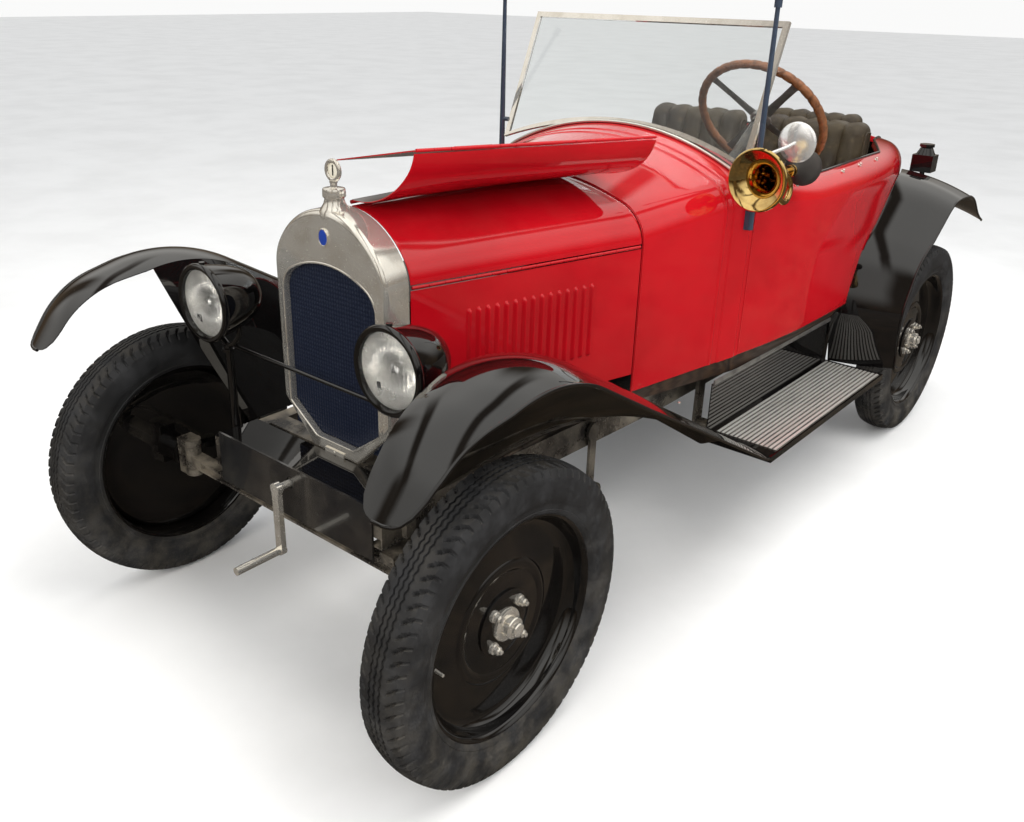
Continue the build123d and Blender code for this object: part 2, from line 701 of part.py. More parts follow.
def radiator_core():
    """Core block and header tank behind the window."""
    section = SHELL_SECTION._replace(station=SHELL_FRONT + 15)
    block = hoop_prism(section, 54, SHELL_SHEET + 1, -SHELL_SHEET) & core_fins()
    inset = SHELL_SHEET + 2
    cut = corner_cut(SHELL_CUT, 18, SHELL_FRONT - 20, SHELL_BACK + 20)
    return block - (Pos(-inset, 0, inset) * cut + Pos(inset, 0, inset) * cut)


def radiator_cap():
    """Filler neck, wing cap and ring-shaped temperature gauge."""
    y = 84.0 + 26
    top = 1110.0
    neck = rod((0, y, top + SEAT_GAP), (0, y, top + 26), 19)
    cap = rod((0, y, top + 26), (0, y, top + 42), 24)
    stem = rod((0, y, top + 42), (0, y, top + 62), 7)
    ring = rod((0, y - 6, top + 82), (0, y + 6, top + 82), 24)
    ring -= rod((0, y - 8, top + 82), (0, y + 8, top + 82), 17)
    dial = rod((0, y - 2, top + 82), (0, y + 2, top + 82), 17)
    wings = box(-34, 34, y - 4, y + 4, top + 28, top + 40)
    return neck + cap + stem + ring + dial + wings


# Bonnet

def bonnet_skin():
    """Closed bonnet sheet, both sides, before it is split."""
    inner = hoop_loft(stretched(BONNET_SECTIONS, 5), BONNET_SHEET, 10)
    return hoop_loft(BONNET_SECTIONS) - inner


def side_hinge_line(side):
    """Point and direction of the hinge between a top panel and its flap."""
    front, rear = BONNET_SECTIONS
    inset = BONNET_SHEET / 2
    start = Vector(side * (front.half_width - inset), front.station, front.shoulder)
    end = Vector(side * (rear.half_width - inset), rear.station, rear.shoulder)
    return start, end


def knuckles(start, end, parity, leaf_side, pin, pin_reach=0.0):
    """Every other knuckle of a piano hinge, with its thin leaf towards its panel."""
    run = (end - start)
    direction = run.normalized()
    pitch = run.length / HINGE_KNUCKLES
    gap = 1.0
    solids = []
    for index in range(parity, HINGE_KNUCKLES, 2):
        a = start + direction * (pitch * index + gap)
        b = start + direction * (pitch * (index + 1) - gap)
        tube = rod(tuple(a), tuple(b), KNUCKLE_RADIUS)
        normal = direction.cross(leaf_side).normalized()
        leaf_plane = Plane(origin=(a + b) / 2, x_dir=direction, z_dir=normal)
        reach = leaf_side.length
        leaf = leaf_plane * (Pos(0, reach / 2 * leaf_sign(leaf_plane, leaf_side), 0)
                             * Box((b - a).length, reach, BONNET_SHEET))
        bore = HINGE_PIN_RADIUS + 0.1
        hole = rod(tuple(a - direction * 5), tuple(b + direction * 5), bore)
        solids.append(tube + leaf if pin else tube + leaf - hole)
    if pin:
        reach = direction * pin_reach
        solids.append(rod(tuple(start - reach), tuple(end + reach), HINGE_PIN_RADIUS))
    return solids


def hinge_ear(front, rear):
    """Small upright lug that holds one end of the bonnet's centre pin."""
    top = BONNET_SECTIONS[0].crown + HINGE_LIFT
    return box(-5, 5, front, rear, top - 10, top + 5)


def leaf_sign(plane, leaf_side):
    """Which way the plane's y axis runs along the leaf."""
    return 1 if plane.y_dir.dot(leaf_side) > 0 else -1


def top_panel(side):
    """Upper half of the bonnet on one side, closed, with its hinge knuckles."""
    hinge_z = BONNET_SECTIONS[0].crown + HINGE_LIFT
    reach = 500.0
    middle = 6.5
    keep = box(side * middle, side * reach, 0, 1000, BONNET_SECTIONS[0].shoulder + 6, 1300)
    panel = bonnet_skin() & keep
    start = Vector(0, BONNET_FRONT, hinge_z)
    end = Vector(0, BONNET_REAR, hinge_z)
    leaf = Vector(side * 9.0, 0, -HINGE_LIFT - 1)
    reach = MOVING_GAP - SEAT_GAP
    for solid in knuckles(start, end, 0 if side > 0 else 1, leaf, side > 0, reach):
        panel += solid
    start, end = side_hinge_line(side)
    for solid in knuckles(start, end, 0, Vector(0, 0, 9), True):
        panel += solid
    return panel


def side_flap(side, louvres):
    """Lower flap of the bonnet, with its louvres."""
    keep = box(side * 100, side * 500, 0, 1000, BONNET_BOTTOM - 5, BONNET_SECTIONS[0].shoulder - 6)
    flap = bonnet_skin() & keep
    start, end = side_hinge_line(side)
    for solid in knuckles(start, end, 1, Vector(0, 0, -9), False):
        flap += solid
    if louvres:
        flap = add_louvres(flap, side)
    return flap


def add_louvres(flap, side):
    """A row of upright slots under raised hoods."""
    for index in range(LOUVRE_COUNT):
        station = LOUVRE_FIRST + LOUVRE_PITCH * index
        x = side * section_at(BONNET_SECTIONS, station).half_width
        low = LOUVRE_BOTTOM
        high = LOUVRE_BOTTOM + LOUVRE_HEIGHT
        hood = [
            (x - side * 2, station - 2),
            (x - side * 0.5, station - 2),
            (x + side * LOUVRE_DEPTH, station + 11),
            (x + side * (LOUVRE_DEPTH - 1), station + 13),
            (x + side * 0.5, station + 6),
            (x - side * 2, station + 5),
        ]
        slot = box(x - side * 12, x + side * 12, station + 7, station + 12, low + 6, high - 6)
        flap = flap - slot + plan(hood, low, high)
    return flap


def opened(shape):
    """Right-hand top panel, thrown over to its open place."""
    hinge_z = BONNET_SECTIONS[0].crown + HINGE_LIFT
    return turned(shape, (0, 0, hinge_z), (0, 1, 0), OPEN_ANGLE)


def folded(shape):
    """Right-hand flap, folded in under its top panel."""
    start, end = side_hinge_line(-1)
    return turned(shape, tuple(start), tuple(end - start), -FLAP_FOLD)


# Body

def scuttle():
    """Scuttle shell with the firewall across its front."""
    outer = hoop_loft(SCUTTLE_SECTIONS)
    inner = hoop_loft(stretched(SCUTTLE_SECTIONS, 5), BODY_WALL, 10)
    wall_section = SCUTTLE_SECTIONS[0]._replace(bottom=FLOOR_TOP)
    firewall = hoop_prism(wall_section, FIREWALL, 1)
    pierced = rod(column_point(900), column_point(1200), COLUMN_RADIUS + MOVING_GAP)
    shell = outer - inner + firewall
    gearbox_hole = box(-120, 120, SCUTTLE_FRONT - 5, SCUTTLE_FRONT + FIREWALL + 5, 500, 560)
    return shell - pierced - gearbox_hole + hinge_ear(SCUTTLE_FRONT, SCUTTLE_FRONT + 12)


def tub_outer(grow=0.0, drop=0.0):
    """Outer form of the tub and tail."""
    return hoop_loft(TUB_SECTIONS, -grow, drop)


def tub_inner(inset):
    """Inner form of the tub, through the floor and closed under the tail."""
    sections = []
    for section in TUB_SECTIONS:
        low = section.bottom - 20 if section.station < TAIL_FLOOR else section.bottom + inset
        sections.append(section._replace(bottom=low))
    last = sections[-1]
    sections[-1] = last._replace(station=last.station - inset)
    return hoop_loft(sections, inset)


def cockpit_cut():
    """Plan of the opening over the seats, narrowing round the third seat."""
    front = TUB_FRONT - 20
    points = [
        (-OPENING_HALF, front), (OPENING_HALF, front), (OPENING_HALF, OPENING_REAR - 470),
        (330, OPENING_REAR - 260), (262, OPENING_REAR), (-262, OPENING_REAR),
        (-330, OPENING_REAR - 260), (-OPENING_HALF, OPENING_REAR - 470),
    ]
    radii = [0, 0, 120, 150, 90, 90, 150, 120]
    return rounded_plan(points, radii, 930, 1300)


def door_zone(gap):
    """Block that holds the right-hand door, grown by its gap."""
    return box(-600, -380, DOOR_FRONT - gap, DOOR_REAR + gap, DOOR_BOTTOM - gap, 1300)


def tub_shell():
    """Open tub before its door is cut."""
    return tub_outer() - tub_inner(BODY_WALL) - cockpit_cut()


def door_hinge(body_part):
    """Two outside hinges at the door's front edge: pins on the body, middle knuckles on the door."""
    x = -(DOOR_SKIN + DOOR_HINGE_RADIUS + 1)
    y = DOOR_FRONT - MOVING_GAP / 2
    inside = -(DOOR_SKIN - 14)
    solids = []
    for z in (650.0, 880.0):
        if body_part:
            for z0 in (z, z + 42):
                tube = rod((x, y, z0), (x, y, z0 + 18), DOOR_HINGE_RADIUS)
                strap = box(x, inside, TUB_FRONT + 2, DOOR_FRONT - MOVING_GAP, z0, z0 + 18)
                solids.append(tube + strap)
            solids.append(rod((x, y, z), (x, y, z + 60), DOOR_PIN_RADIUS))
        else:
            middle = rod((x, y, z + 19), (x, y, z + 41), DOOR_HINGE_RADIUS)
            strap = box(x, inside, DOOR_FRONT, y + 36, z + 19, z + 41)
            link = box(x - 2, x + DOOR_HINGE_RADIUS - 1, y, DOOR_FRONT + 2, z + 19, z + 41)
            hole = rod((x, y, z), (x, y, z + 60), DOOR_PIN_RADIUS + 0.1)
            solids.append(middle + strap + link - hole)
    return solids


def body_tub():
    """Tub and tail in one shell, with its door opening and hinge straps."""
    tub = tub_shell() - door_zone(MOVING_GAP)
    for solid in door_hinge(True):
        tub += solid
    return tub


def door_right():
    """Front-hinged door cut from the same shell."""
    door = tub_shell() & door_zone(0)
    for solid in door_hinge(False):
        door += solid
    stem = rod((-DOOR_SKIN - 18, DOOR_REAR - 60, 930), (-DOOR_SKIN - 54, DOOR_REAR - 60, 930), 6)
    lever = box(-DOOR_SKIN - 60, -DOOR_SKIN - 51, DOOR_REAR - 110, DOOR_REAR - 54, 924, 936)
    return door + stem + lever


def floor_form(grow=0.0):
    """Board floor with sloping sills that carry the body sides, drawn through the body's sections."""
    first = section_at(SCUTTLE_SECTIONS, SCUTTLE_FRONT + FIREWALL + 1)
    last = section_at(TUB_SECTIONS, TAIL_FLOOR)
    middle = [row for row in TUB_SECTIONS if row.station < TAIL_FLOOR]
    faces = []
    for row in (first, *middle, last):
        foot = min(SILL_OUTER, row.half_width - 8) + grow
        rim = row.half_width - 6 + grow
        top = row.bottom - SEAT_GAP + grow
        low = RAIL_TOP + SEAT_GAP - grow
        deep = foot - SILL_DEPTH - 8
        half = [(deep, FLOOR_TOP + grow), (rim - SILL_DEPTH, top), (rim, top), (foot, low)]
        outline = half + [(-x, z) for x, z in reversed(half)]
        faces.append(make_face(Polyline(*[(x, row.station, z) for x, z in outline], close=True)))
    return loft(sections=faces, ruled=True)


def floorboards():
    """Floor and sills, open over the gearbox."""
    return floor_form() - box(-130, 130, SCUTTLE_FRONT, 1000, 400, 600)


def dashboard():
    """Instrument board under the scuttle's rear edge."""
    stations = (TUB_FRONT - 22, TUB_FRONT - 8)
    sections = [section_at(SCUTTLE_SECTIONS, s)._replace(bottom=985.0) for s in stations]
    return hoop_loft(sections, BODY_WALL + SEAT_GAP)


def seat(x0, x1, front, rear, base_z, cushion_z, back_z, recline):
    """One upholstered seat: box base, cushion and reclined back in one closed form."""
    points = [
        (front + 30, base_z), (rear + 10, base_z), (rear + 10 + recline, back_z),
        (rear - 90 + recline, back_z), (rear - 110, cushion_z), (front, cushion_z + 20),
        (front, cushion_z - 90), (front + 30, cushion_z - 100),
    ]
    body = profile(points, x0, x1)
    top = [e for e in body.edges() if e.center().Z > back_z - 5]
    return fillet(top, 18)


def seats():
    """Two front seats side by side and one behind them, in the tail."""
    base = FLOOR_TOP + SEAT_GAP
    left = seat(45, 418, 1690, 2120, base, 745, 1150, 60)
    rear = seat(-215, 215, 2290, 2610, base, 745, 1125, 50) & tub_inner(BODY_WALL + SEAT_GAP)
    return left, mirror_x(left), rear


# Windscreen

def screen_plane():
    """Plane of the leaning screen, its y axis running up the glass."""
    lean = math.radians(SCREEN_LEAN)
    normal = (0, -math.cos(lean), math.sin(lean))
    return Plane(origin=(0, SCREEN_STATION, SCREEN_END_Z), x_dir=(1, 0, 0), z_dir=normal)


def screen_outline(inset):
    """Outline of the screen: straight top, upright ends and a bottom arched over the scuttle."""
    slope = math.cos(math.radians(SCREEN_LEAN))
    height = (SCREEN_TOP_Z - SCREEN_END_Z) / slope - inset
    arch = (SCREEN_CENTRE_Z - SCREEN_END_Z) / slope + inset
    half = SCREEN_HALF - inset
    low = inset
    edges = [
        ThreePointArc((-half, low), (0, arch), (half, low)),
        Line((half, low), (half, height)),
        Line((half, height), (-half, height)),
        Line((-half, height), (-half, low)),
    ]
    return make_face(Wire([edge.edge() for edge in edges]))


def windscreen_frame():
    """Plated frame round the glass."""
    plane = screen_plane()
    ring = screen_outline(0) - screen_outline(SCREEN_BAR)
    body = extrude(plane * ring, amount=SCREEN_DEPTH / 2, both=True)
    return body - hoop_loft(SCUTTLE_SECTIONS, -SEAT_GAP)


def windscreen_glass():
    """Single pane, one step smaller than its frame."""
    outline = screen_outline(SCREEN_BAR + SEAT_GAP)
    return extrude(screen_plane() * outline, amount=GLASS_THICKNESS / 2, both=True)


def post_bar(x, grow=0.0):
    """Tapered upright of one post."""
    foot = (x, POST_STATION, POST_BOTTOM)
    tip = (x, POST_STATION, POST_TOP - 24)
    return taper(foot, tip, POST_FOOT_RADIUS + grow, POST_TIP_RADIUS + grow)


def windscreen_posts():
    """Tapered posts with their feet on the scuttle and clamps to the frame."""
    parts = []
    for side in (-1, 1):
        x = side * POST_X
        bar = post_bar(x)
        knob = Pos(x, POST_STATION, POST_TOP - 12) * Cylinder(10, 24)
        pad = box(side * 430, x, POST_STATION - 12, POST_STATION + 12, POST_BOTTOM, POST_BOTTOM + 60)
        inside = side * (SCREEN_HALF + SEAT_GAP)
        clamp = rod((inside, POST_STATION + 2, 1165), (x, POST_STATION + 2, 1165), 7)
        parts.append(bar + knob + clamp + pad)
    body = parts[0] + parts[1]
    return body - hoop_loft(SCUTTLE_SECTIONS, -SEAT_GAP)


# Wings

FRONT_WING_PATH = (
    (-FRONT_OVERHANG, 745.0), (105 - FRONT_OVERHANG, 880.0), (60.0, 955.0),
    (BOARD_FRONT - 20, BOARD_TOP + 16), (BOARD_FRONT + 30, BOARD_TOP + 7),
)
FRONT_WING_RADII = (280.0, 400.0, 100.0)
VALANCE_POINTS = 17
VALANCE_START = 0.2
VALANCE_END = 0.775
VALANCE_DROP = 13.0
REAR_WING_PATH = (
    (REAR_WING_FOOT, BOARD_TOP + 7), (WHEELBASE - 420, 560.0), (WHEELBASE - 340, 745.0),
    (WHEELBASE - 70, 935.0), (WHEELBASE + 155, 925.0), (WHEELBASE + 290, 820.0), (WHEELBASE + 390, 785.0),
)
REAR_WING_RADII = (250.0, 250.0, 250.0, 250.0, 300.0)
REAR_WING_SECTION = ((300.0, 30.0), (WING_OUTER - 130, 14.0), (WING_OUTER, -30.0))


def swept_wing(path, radii, section, lift=0.0, thickness=WING_SHEET):
    """Crowned sheet drawn along a line of tangent arcs, its outer face lifted from the line."""
    centre = section[1][0]
    points = [(centre, y, z) for y, z in path]
    line = FilletPolyline(*points, radius=list(radii))
    first = Vector(*points[0])
    tangent = (Vector(*points[1]) - first).normalized()
    up = Vector(1, 0, 0).cross(tangent)
    plane = Plane(origin=first, x_dir=(1, 0, 0), z_dir=tangent)
    sign = 1 if plane.y_dir.dot(up) > 0 else -1
    outer = [(x - centre, sign * (h + lift)) for x, h in section]
    inner = [(x - centre, sign * (h - thickness)) for x, h in section]
    edges = [
        ThreePointArc(outer[0], outer[1], outer[2]),
        Line(outer[2], inner[2]),
        ThreePointArc(inner[2], inner[1], inner[0]),
        Line(inner[0], outer[0]),
    ]
    face = make_face(Wire([edge.edge() for edge in edges]))
    return sweep(plane * face, path=line, transition=Transition.RIGHT)


def front_wing():
    """Left front wing, its nose narrowed in plan, with the valance down to the rail."""
    section = ((BOARD_INNER, -34.0), (WING_CREST, 0.0), (WING_OUTER + 10, -32.0))
    sheet = swept_wing(FRONT_WING_PATH, FRONT_WING_RADII, section)
    outline = [
        (WING_CREST - 35, -FRONT_OVERHANG), (WING_OUTER - 50, -FRONT_OVERHANG),
        (WING_OUTER - 18, 70 - FRONT_OVERHANG), (WING_OUTER, -100), (WING_OUTER, 400),
        (BOARD_OUTER, BOARD_FRONT - SEAT_GAP), (BOARD_INNER + 1, BOARD_FRONT - SEAT_GAP),
        (WING_INNER, 500), (WING_INNER, -80), (WING_INNER + 36, 70 - FRONT_OVERHANG),
    ]
    return sheet & plan(outline, 200, 1100)


def front_valance():
    """Sheet from the wing's inner edge in to the top of the chassis rail."""
    line = FilletPolyline(*[(0, y, z) for y, z in FRONT_WING_PATH], radius=list(FRONT_WING_RADII))
    top = []
    for index in range(VALANCE_POINTS):
        share = index / (VALANCE_POINTS - 1)
        place = VALANCE_START + (VALANCE_END - VALANCE_START) * share
        point = line.position_at(place)
        tangent = line.tangent_at(place)
        top.append((point.Y + tangent.Z * VALANCE_DROP, point.Z - tangent.Y * VALANCE_DROP))
    first = top[0][0] + 110
    foot = RAIL_TOP + SEAT_GAP + WING_SHEET
    low = []
    for y, z in top:
        share = (y - top[0][0]) / (top[-1][0] - top[0][0])
        low.append((first + (top[-1][0] - first) * share, foot))
    faces = []
    for x, points in ((WING_INNER + 3, top), (RAIL_FRONT_X + 6, low)):
        inner = [(y, z - WING_SHEET) for y, z in points]
        faces.append(make_face(Polyline(*[(x, y, z) for y, z in points + inner[::-1]], close=True)))
    return loft(sections=faces, ruled=True)


def rear_wing():
    """Left rear wing, running in to the body side."""
    sheet = swept_wing(REAR_WING_PATH, REAR_WING_RADII, REAR_WING_SECTION)
    outline = [
        (BOARD_INNER + 4, WHEELBASE - 500), (WING_OUTER - 15, WHEELBASE - 500),
        (WING_OUTER, WHEELBASE - 250), (WING_OUTER, WHEELBASE + 340), (WING_OUTER - 40, WHEELBASE + 500),
        (430, WHEELBASE + 500), (380, WHEELBASE + 340), (330, WHEELBASE + 200),
        (330, WHEELBASE - 100), (BOARD_INNER + 4, WHEELBASE - 300),
    ]
    sheet = sheet & plan(outline, 200, 1100)
    low, high = FLOOR_TOP + 20, BODY_BOTTOM + 13
    hollow = box(BOARD_INNER, BOARD_INNER + 16, WHEELBASE - 500, WHEELBASE - 300, low, high)
    return sheet - tub_outer(SEAT_GAP, SEAT_GAP) - floor_form(SEAT_GAP) - hollow


def running_board():
    """Left running board."""
    low = BOARD_TOP - BOARD_THICKNESS
    return box(BOARD_INNER + SEAT_GAP, BOARD_OUTER, BOARD_FRONT, BOARD_REAR, low, BOARD_TOP)


def board_tread():
    """Ribbed metal plate on a running board."""
    x0 = BOARD_INNER + 8
    x1 = BOARD_OUTER - 6
    y0 = BOARD_FRONT + 46
    y1 = BOARD_REAR - 20
    tread = box(x0, x1, y0, y1, BOARD_TOP, BOARD_TOP + 1)
    pitch = (x1 - x0) / TREAD_RIBS
    for index in range(TREAD_RIBS):
        x = x0 + pitch * (index + 0.5)
        tread += box(x - pitch * 0.28, x + pitch * 0.28, y0, y1, BOARD_TOP + 1, BOARD_TOP + TREAD_HEIGHT)
    return tread


def board_apron():
    """Upright panel between a running board and the body."""
    x1 = BOARD_INNER
    return box(x1 - 3, x1, BOARD_FRONT, BOARD_REAR, BOARD_TOP - BOARD_THICKNESS, RAIL_TOP)


# Lamps and fittings

def headlamps():
    """Two bowls on upright stems, with a thin tie between them."""
    solids = None
    for side in (-1, 1):
        x = side * LAMP_X
        bowl = [
            (0, LAMP_DEPTH), (30, LAMP_DEPTH - 3), (62, LAMP_DEPTH - 30), (84, 60),
            (LAMP_RADIUS - 3, 14), (LAMP_RADIUS, 0), (LENS_RADIUS, 0),
            (LENS_RADIUS, 12), (74, 60), (50, 110), (0, 130),
        ]
        face = make_face(Polyline(*[(r, 0, z) for r, z in bowl], close=True))
        solid = revolve(face, axis=Axis.Z)
        place = Plane(origin=(x, LAMP_STATION, LAMP_Z), x_dir=(1, 0, 0), z_dir=(0, 1, 0))
        solid = place * solid
        stem = rod((x, 15, 440), (x, 15, LAMP_Z - 70), 11)
        stem -= box(x - 40, x + 40, -40, 60, 430, 500 + SEAT_GAP)
        both = solid + stem
        solids = both if solids is None else solids + both
    return solids + rod((-LAMP_X, 15, LAMP_Z - 118), (LAMP_X, 15, LAMP_Z - 118), 5)


def headlamp_glass():
    """Two lenses."""
    solids = None
    for side in (-1, 1):
        x = side * LAMP_X
        start = (x, LAMP_STATION + 2, LAMP_Z)
        lens = rod(start, (x, LAMP_STATION + 7, LAMP_Z), LENS_RADIUS - SEAT_GAP)
        solids = lens if solids is None else solids + lens
    return solids


def number_plate():
    """Plain black plate on the front cross member."""
    plate = box(-PLATE_HALF, PLATE_HALF, PLATE_STATION, RAIL_FRONT - SEAT_GAP, PLATE_BOTTOM, PLATE_TOP)
    start = (0, PLATE_STATION - 5, CRANK_Z)
    return plate - rod(start, (0, RAIL_FRONT + 5, CRANK_Z), CRANK_RADIUS + MOVING_GAP)


def front_apron():
    """Flat sheet over the rails ahead of the radiator."""
    edge = RAIL_FRONT_X
    return box(-edge, edge, RAIL_FRONT, SHELL_FRONT - 4, RAIL_TOP + SEAT_GAP, RAIL_TOP + 3)


def starting_handle():
    """Cranked handle on its long shaft."""
    shaft = rod((0, -112, CRANK_Z), (0, 190, CRANK_Z), CRANK_RADIUS)
    arm = box(-11, 11, -112, -98, CRANK_Z - CRANK_ARM, CRANK_Z)
    arm += rod((0, -112, CRANK_Z), (0, -98, CRANK_Z), 15)
    arm += rod((0, -112, CRANK_Z - CRANK_ARM), (0, -98, CRANK_Z - CRANK_ARM), 13)
    grip = rod((0, -235, CRANK_Z - CRANK_ARM), (0, -112, CRANK_Z - CRANK_ARM), 10)
    return shaft + arm + grip


def horn():
    """Brass bell horn with a coiled tube, clamped to the left post."""
    x, y, z = HORN_PLACE
    bell = [
        (80, 0), (68, 4), (48, 22), (34, 50), (25, 85), (20, 120), (17, 150),
        (4, 150), (4, 146), (13, 142), (17, 118), (22, 83), (31, 47), (46, 18), (67, 1), (80, -3),
    ]
    face = make_face(Polyline(*[(r, 0, h) for r, h in bell], close=True))
    body = Plane(origin=(x, y, z), x_dir=(1, 0, 0), z_dir=(0, 1, 0)) * revolve(face, axis=Axis.Z)
    loop = Plane(origin=(x, y + 150, z - 38), x_dir=(0, 1, 0), z_dir=(1, 0, 0)) * Torus(38, 9)
    tail = rod((x, y + 147, z), (x, y + HORN_TAIL, z), 10)
    clamp = box(POST_X + 2, x - 10, POST_STATION - 8, POST_STATION + 8, z - 8, z + 8)
    return body + loop + tail + clamp - post_bar(POST_X, SEAT_GAP)


def horn_bulb():
    """Rubber bulb on the end of the horn's tube."""
    x, y, z = HORN_PLACE
    start = y + HORN_TAIL + SEAT_GAP
    neck = taper((x, start, z), (x, start + 40, z), 14, 34)
    return neck + Pos(x, start + 72, z) * Sphere(52)


def mirror_round():
    """Round mirror on a stalk from the left post."""
    centre = (508.0, 1342.0, 1182.0)
    disc = rod((centre[0], centre[1] - 6, centre[2]), (centre[0], centre[1] + 6, centre[2]), 55)
    stalk = rod((POST_X, POST_STATION, 1150), (centre[0], centre[1] - 4, centre[2] - 10), 5)
    return disc + stalk - post_bar(POST_X, SEAT_GAP)


def rear_lamp():
    """Lantern with a chimney on the left rear wing."""
    x, y = 478.0, 2600.0
    base = 946.0
    body = box(x - 38, x + 38, y - 32, y + 32, base, base + 62)
    hood = taper((x, y, base + 62), (x, y, base + 90), 34, 20)
    chimney = rod((x, y, base + 90), (x, y, base + 100), 26)
    stem = rod((x, y, base - 60), (x, y, base), 9)
    stem -= swept_wing(REAR_WING_PATH, REAR_WING_RADII, REAR_WING_SECTION, SEAT_GAP, 100)
    return body + hood + chimney + stem


def exhaust():
    """Exhaust pipe and silencer under the right side."""
    x = -190.0
    z = CROSS_TOP - CROSS_HEIGHT - SILENCER_RADIUS - SEAT_GAP
    pipe = rod((x, 700, z + 12), (x, 1300, z), 20)
    silencer = rod((x, 1300, z), (x, 1820, z), SILENCER_RADIUS)
    tail = rod((x, 1820, z), (x, 2240, z), 18)
    return pipe + silencer + tail


def levers():
    """Gear lever and hand brake on the gearbox."""
    foot = rod((0, 930, 540 + SEAT_GAP), (0, 930, 570), 11)
    gear = foot + taper((0, 928, 562), (0, 1290, 840), 8, 6) + Pos(0, 1290, 840) * Sphere(16)
    brake = box(-70, -62, 930, 960, 540 + SEAT_GAP, 600) + rod((-66, 945, 590), (-66, 1160, 790), 6)
    return gear + brake


def build_all():
    """Model every node and write its file."""
    save("chassis_frame", chassis_frame())
    save("engine", engine())
    save("springs", springs())
    save("front_axle", front_axle())
    save("rear_axle", rear_axle())
    save("knuckle_left", knuckle(1))
    save("knuckle_right", knuckle(-1))
    save("track_rod", track_rod())
    save("drop_arm", drop_arm())
    save("drag_link", drag_link())
    save("steering_column", steering_column())
    save("steering_wheel", steering_wheel())
    tyre = tyre_solid()
    for place, side, station in (
        ("front_left", 1, 0.0), ("front_right", -1, 0.0),
        ("rear_left", 1, WHEELBASE), ("rear_right", -1, WHEELBASE),
    ):
        plane = wheel_place(side, station)
        save(f"tyre_{place}", plane * tyre)
        save(f"wheel_{place}", plane * wheel_solid(station > 0))
    save("radiator_shell", radiator_shell())
    save("radiator_core", radiator_core())
    save("radiator_cap", radiator_cap())
    save("bonnet_top_left", top_panel(1))
    save("bonnet_side_left", side_flap(1, True))
    save("bonnet_top_right", opened(top_panel(-1)))
    save("bonnet_side_right", opened(folded(side_flap(-1, True))))
    save("scuttle", scuttle())
    save("dashboard", dashboard())
    save("body_tub", body_tub())
    save("door_right", door_right())
    save("floorboards", floorboards())
    left, right, rear = seats()
    save("seat_left", left)
    save("seat_right", right)
    save("seat_rear", rear)
    save("windscreen_frame", windscreen_frame())
    save("windscreen_glass", windscreen_glass())
    save("windscreen_posts", windscreen_posts())
    wing = front_wing() + front_valance()
    save("front_wing_left", wing)
    save("front_wing_right", mirror_x(wing))
    wing = rear_wing()
    save("rear_wing_left", wing)
    save("rear_wing_right", mirror_x(wing))
    for name, solid in (
        ("running_boards", running_board()), ("board_treads", board_tread()),
    ):
        save(name, solid + mirror_x(solid))
    apron = board_apron()
    save("aprons", apron + mirror_x(apron) + front_apron())
    save("headlamps", headlamps())
    save("headlamp_glass", headlamp_glass())
    save("number_plate", number_plate())
    save("starting_handle", starting_handle())
    save("horn", horn())
    save("horn_bulb", horn_bulb())
    save("mirror", mirror_round())
    save("rear_lamp", rear_lamp())
    save("exhaust", exhaust())
    save("levers", levers())


build_all()
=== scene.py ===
"""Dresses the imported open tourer: enamel, plate, brass, rubber, leather and glass over its CAD frame."""

import json
import logging
import math
from dataclasses import dataclass
from enum import Enum
from typing import Callable, ClassVar, Iterable, Sequence

import bmesh
import bpy
from mathutils import Matrix, Vector


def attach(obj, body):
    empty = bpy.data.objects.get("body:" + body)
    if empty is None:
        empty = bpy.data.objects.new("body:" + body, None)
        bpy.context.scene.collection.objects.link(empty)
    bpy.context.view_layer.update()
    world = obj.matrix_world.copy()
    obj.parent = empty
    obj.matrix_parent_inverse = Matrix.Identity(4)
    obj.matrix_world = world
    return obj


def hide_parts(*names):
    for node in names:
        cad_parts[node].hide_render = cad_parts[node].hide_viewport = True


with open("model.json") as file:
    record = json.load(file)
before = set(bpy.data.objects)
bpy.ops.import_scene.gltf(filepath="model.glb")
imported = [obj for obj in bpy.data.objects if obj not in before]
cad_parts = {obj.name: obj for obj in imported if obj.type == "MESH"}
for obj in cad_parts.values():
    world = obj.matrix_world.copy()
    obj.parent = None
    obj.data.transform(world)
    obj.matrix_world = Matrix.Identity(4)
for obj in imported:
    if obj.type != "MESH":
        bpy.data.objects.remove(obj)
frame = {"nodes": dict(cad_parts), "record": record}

LOG = logging.getLogger("tourer")
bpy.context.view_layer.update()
MID_STATION = 1260.0

Point = tuple[float, float, float]
Flat = tuple[float, float]

UP = Vector((0, 0, 1))
BACK = Vector((0, 1, 0))
AHEAD = Vector((0, -1, 0))


class Side(Enum):
    """Side of the car, as the sign of x."""

    LEFT = 1
    RIGHT = -1


class Body(str, Enum):
    """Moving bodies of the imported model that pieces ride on."""

    CHASSIS = "chassis"
    HAND_WHEEL = "hand_wheel"
    FLAP_LEFT = "bonnet_flap_left"
    LID_RIGHT = "bonnet_lid_right"
    DOOR = "door"
    FRONT_LEFT = "front_left_wheel"
    FRONT_RIGHT = "front_right_wheel"
    REAR_LEFT = "rear_left_wheel"
    REAR_RIGHT = "rear_right_wheel"


# Shader node groups


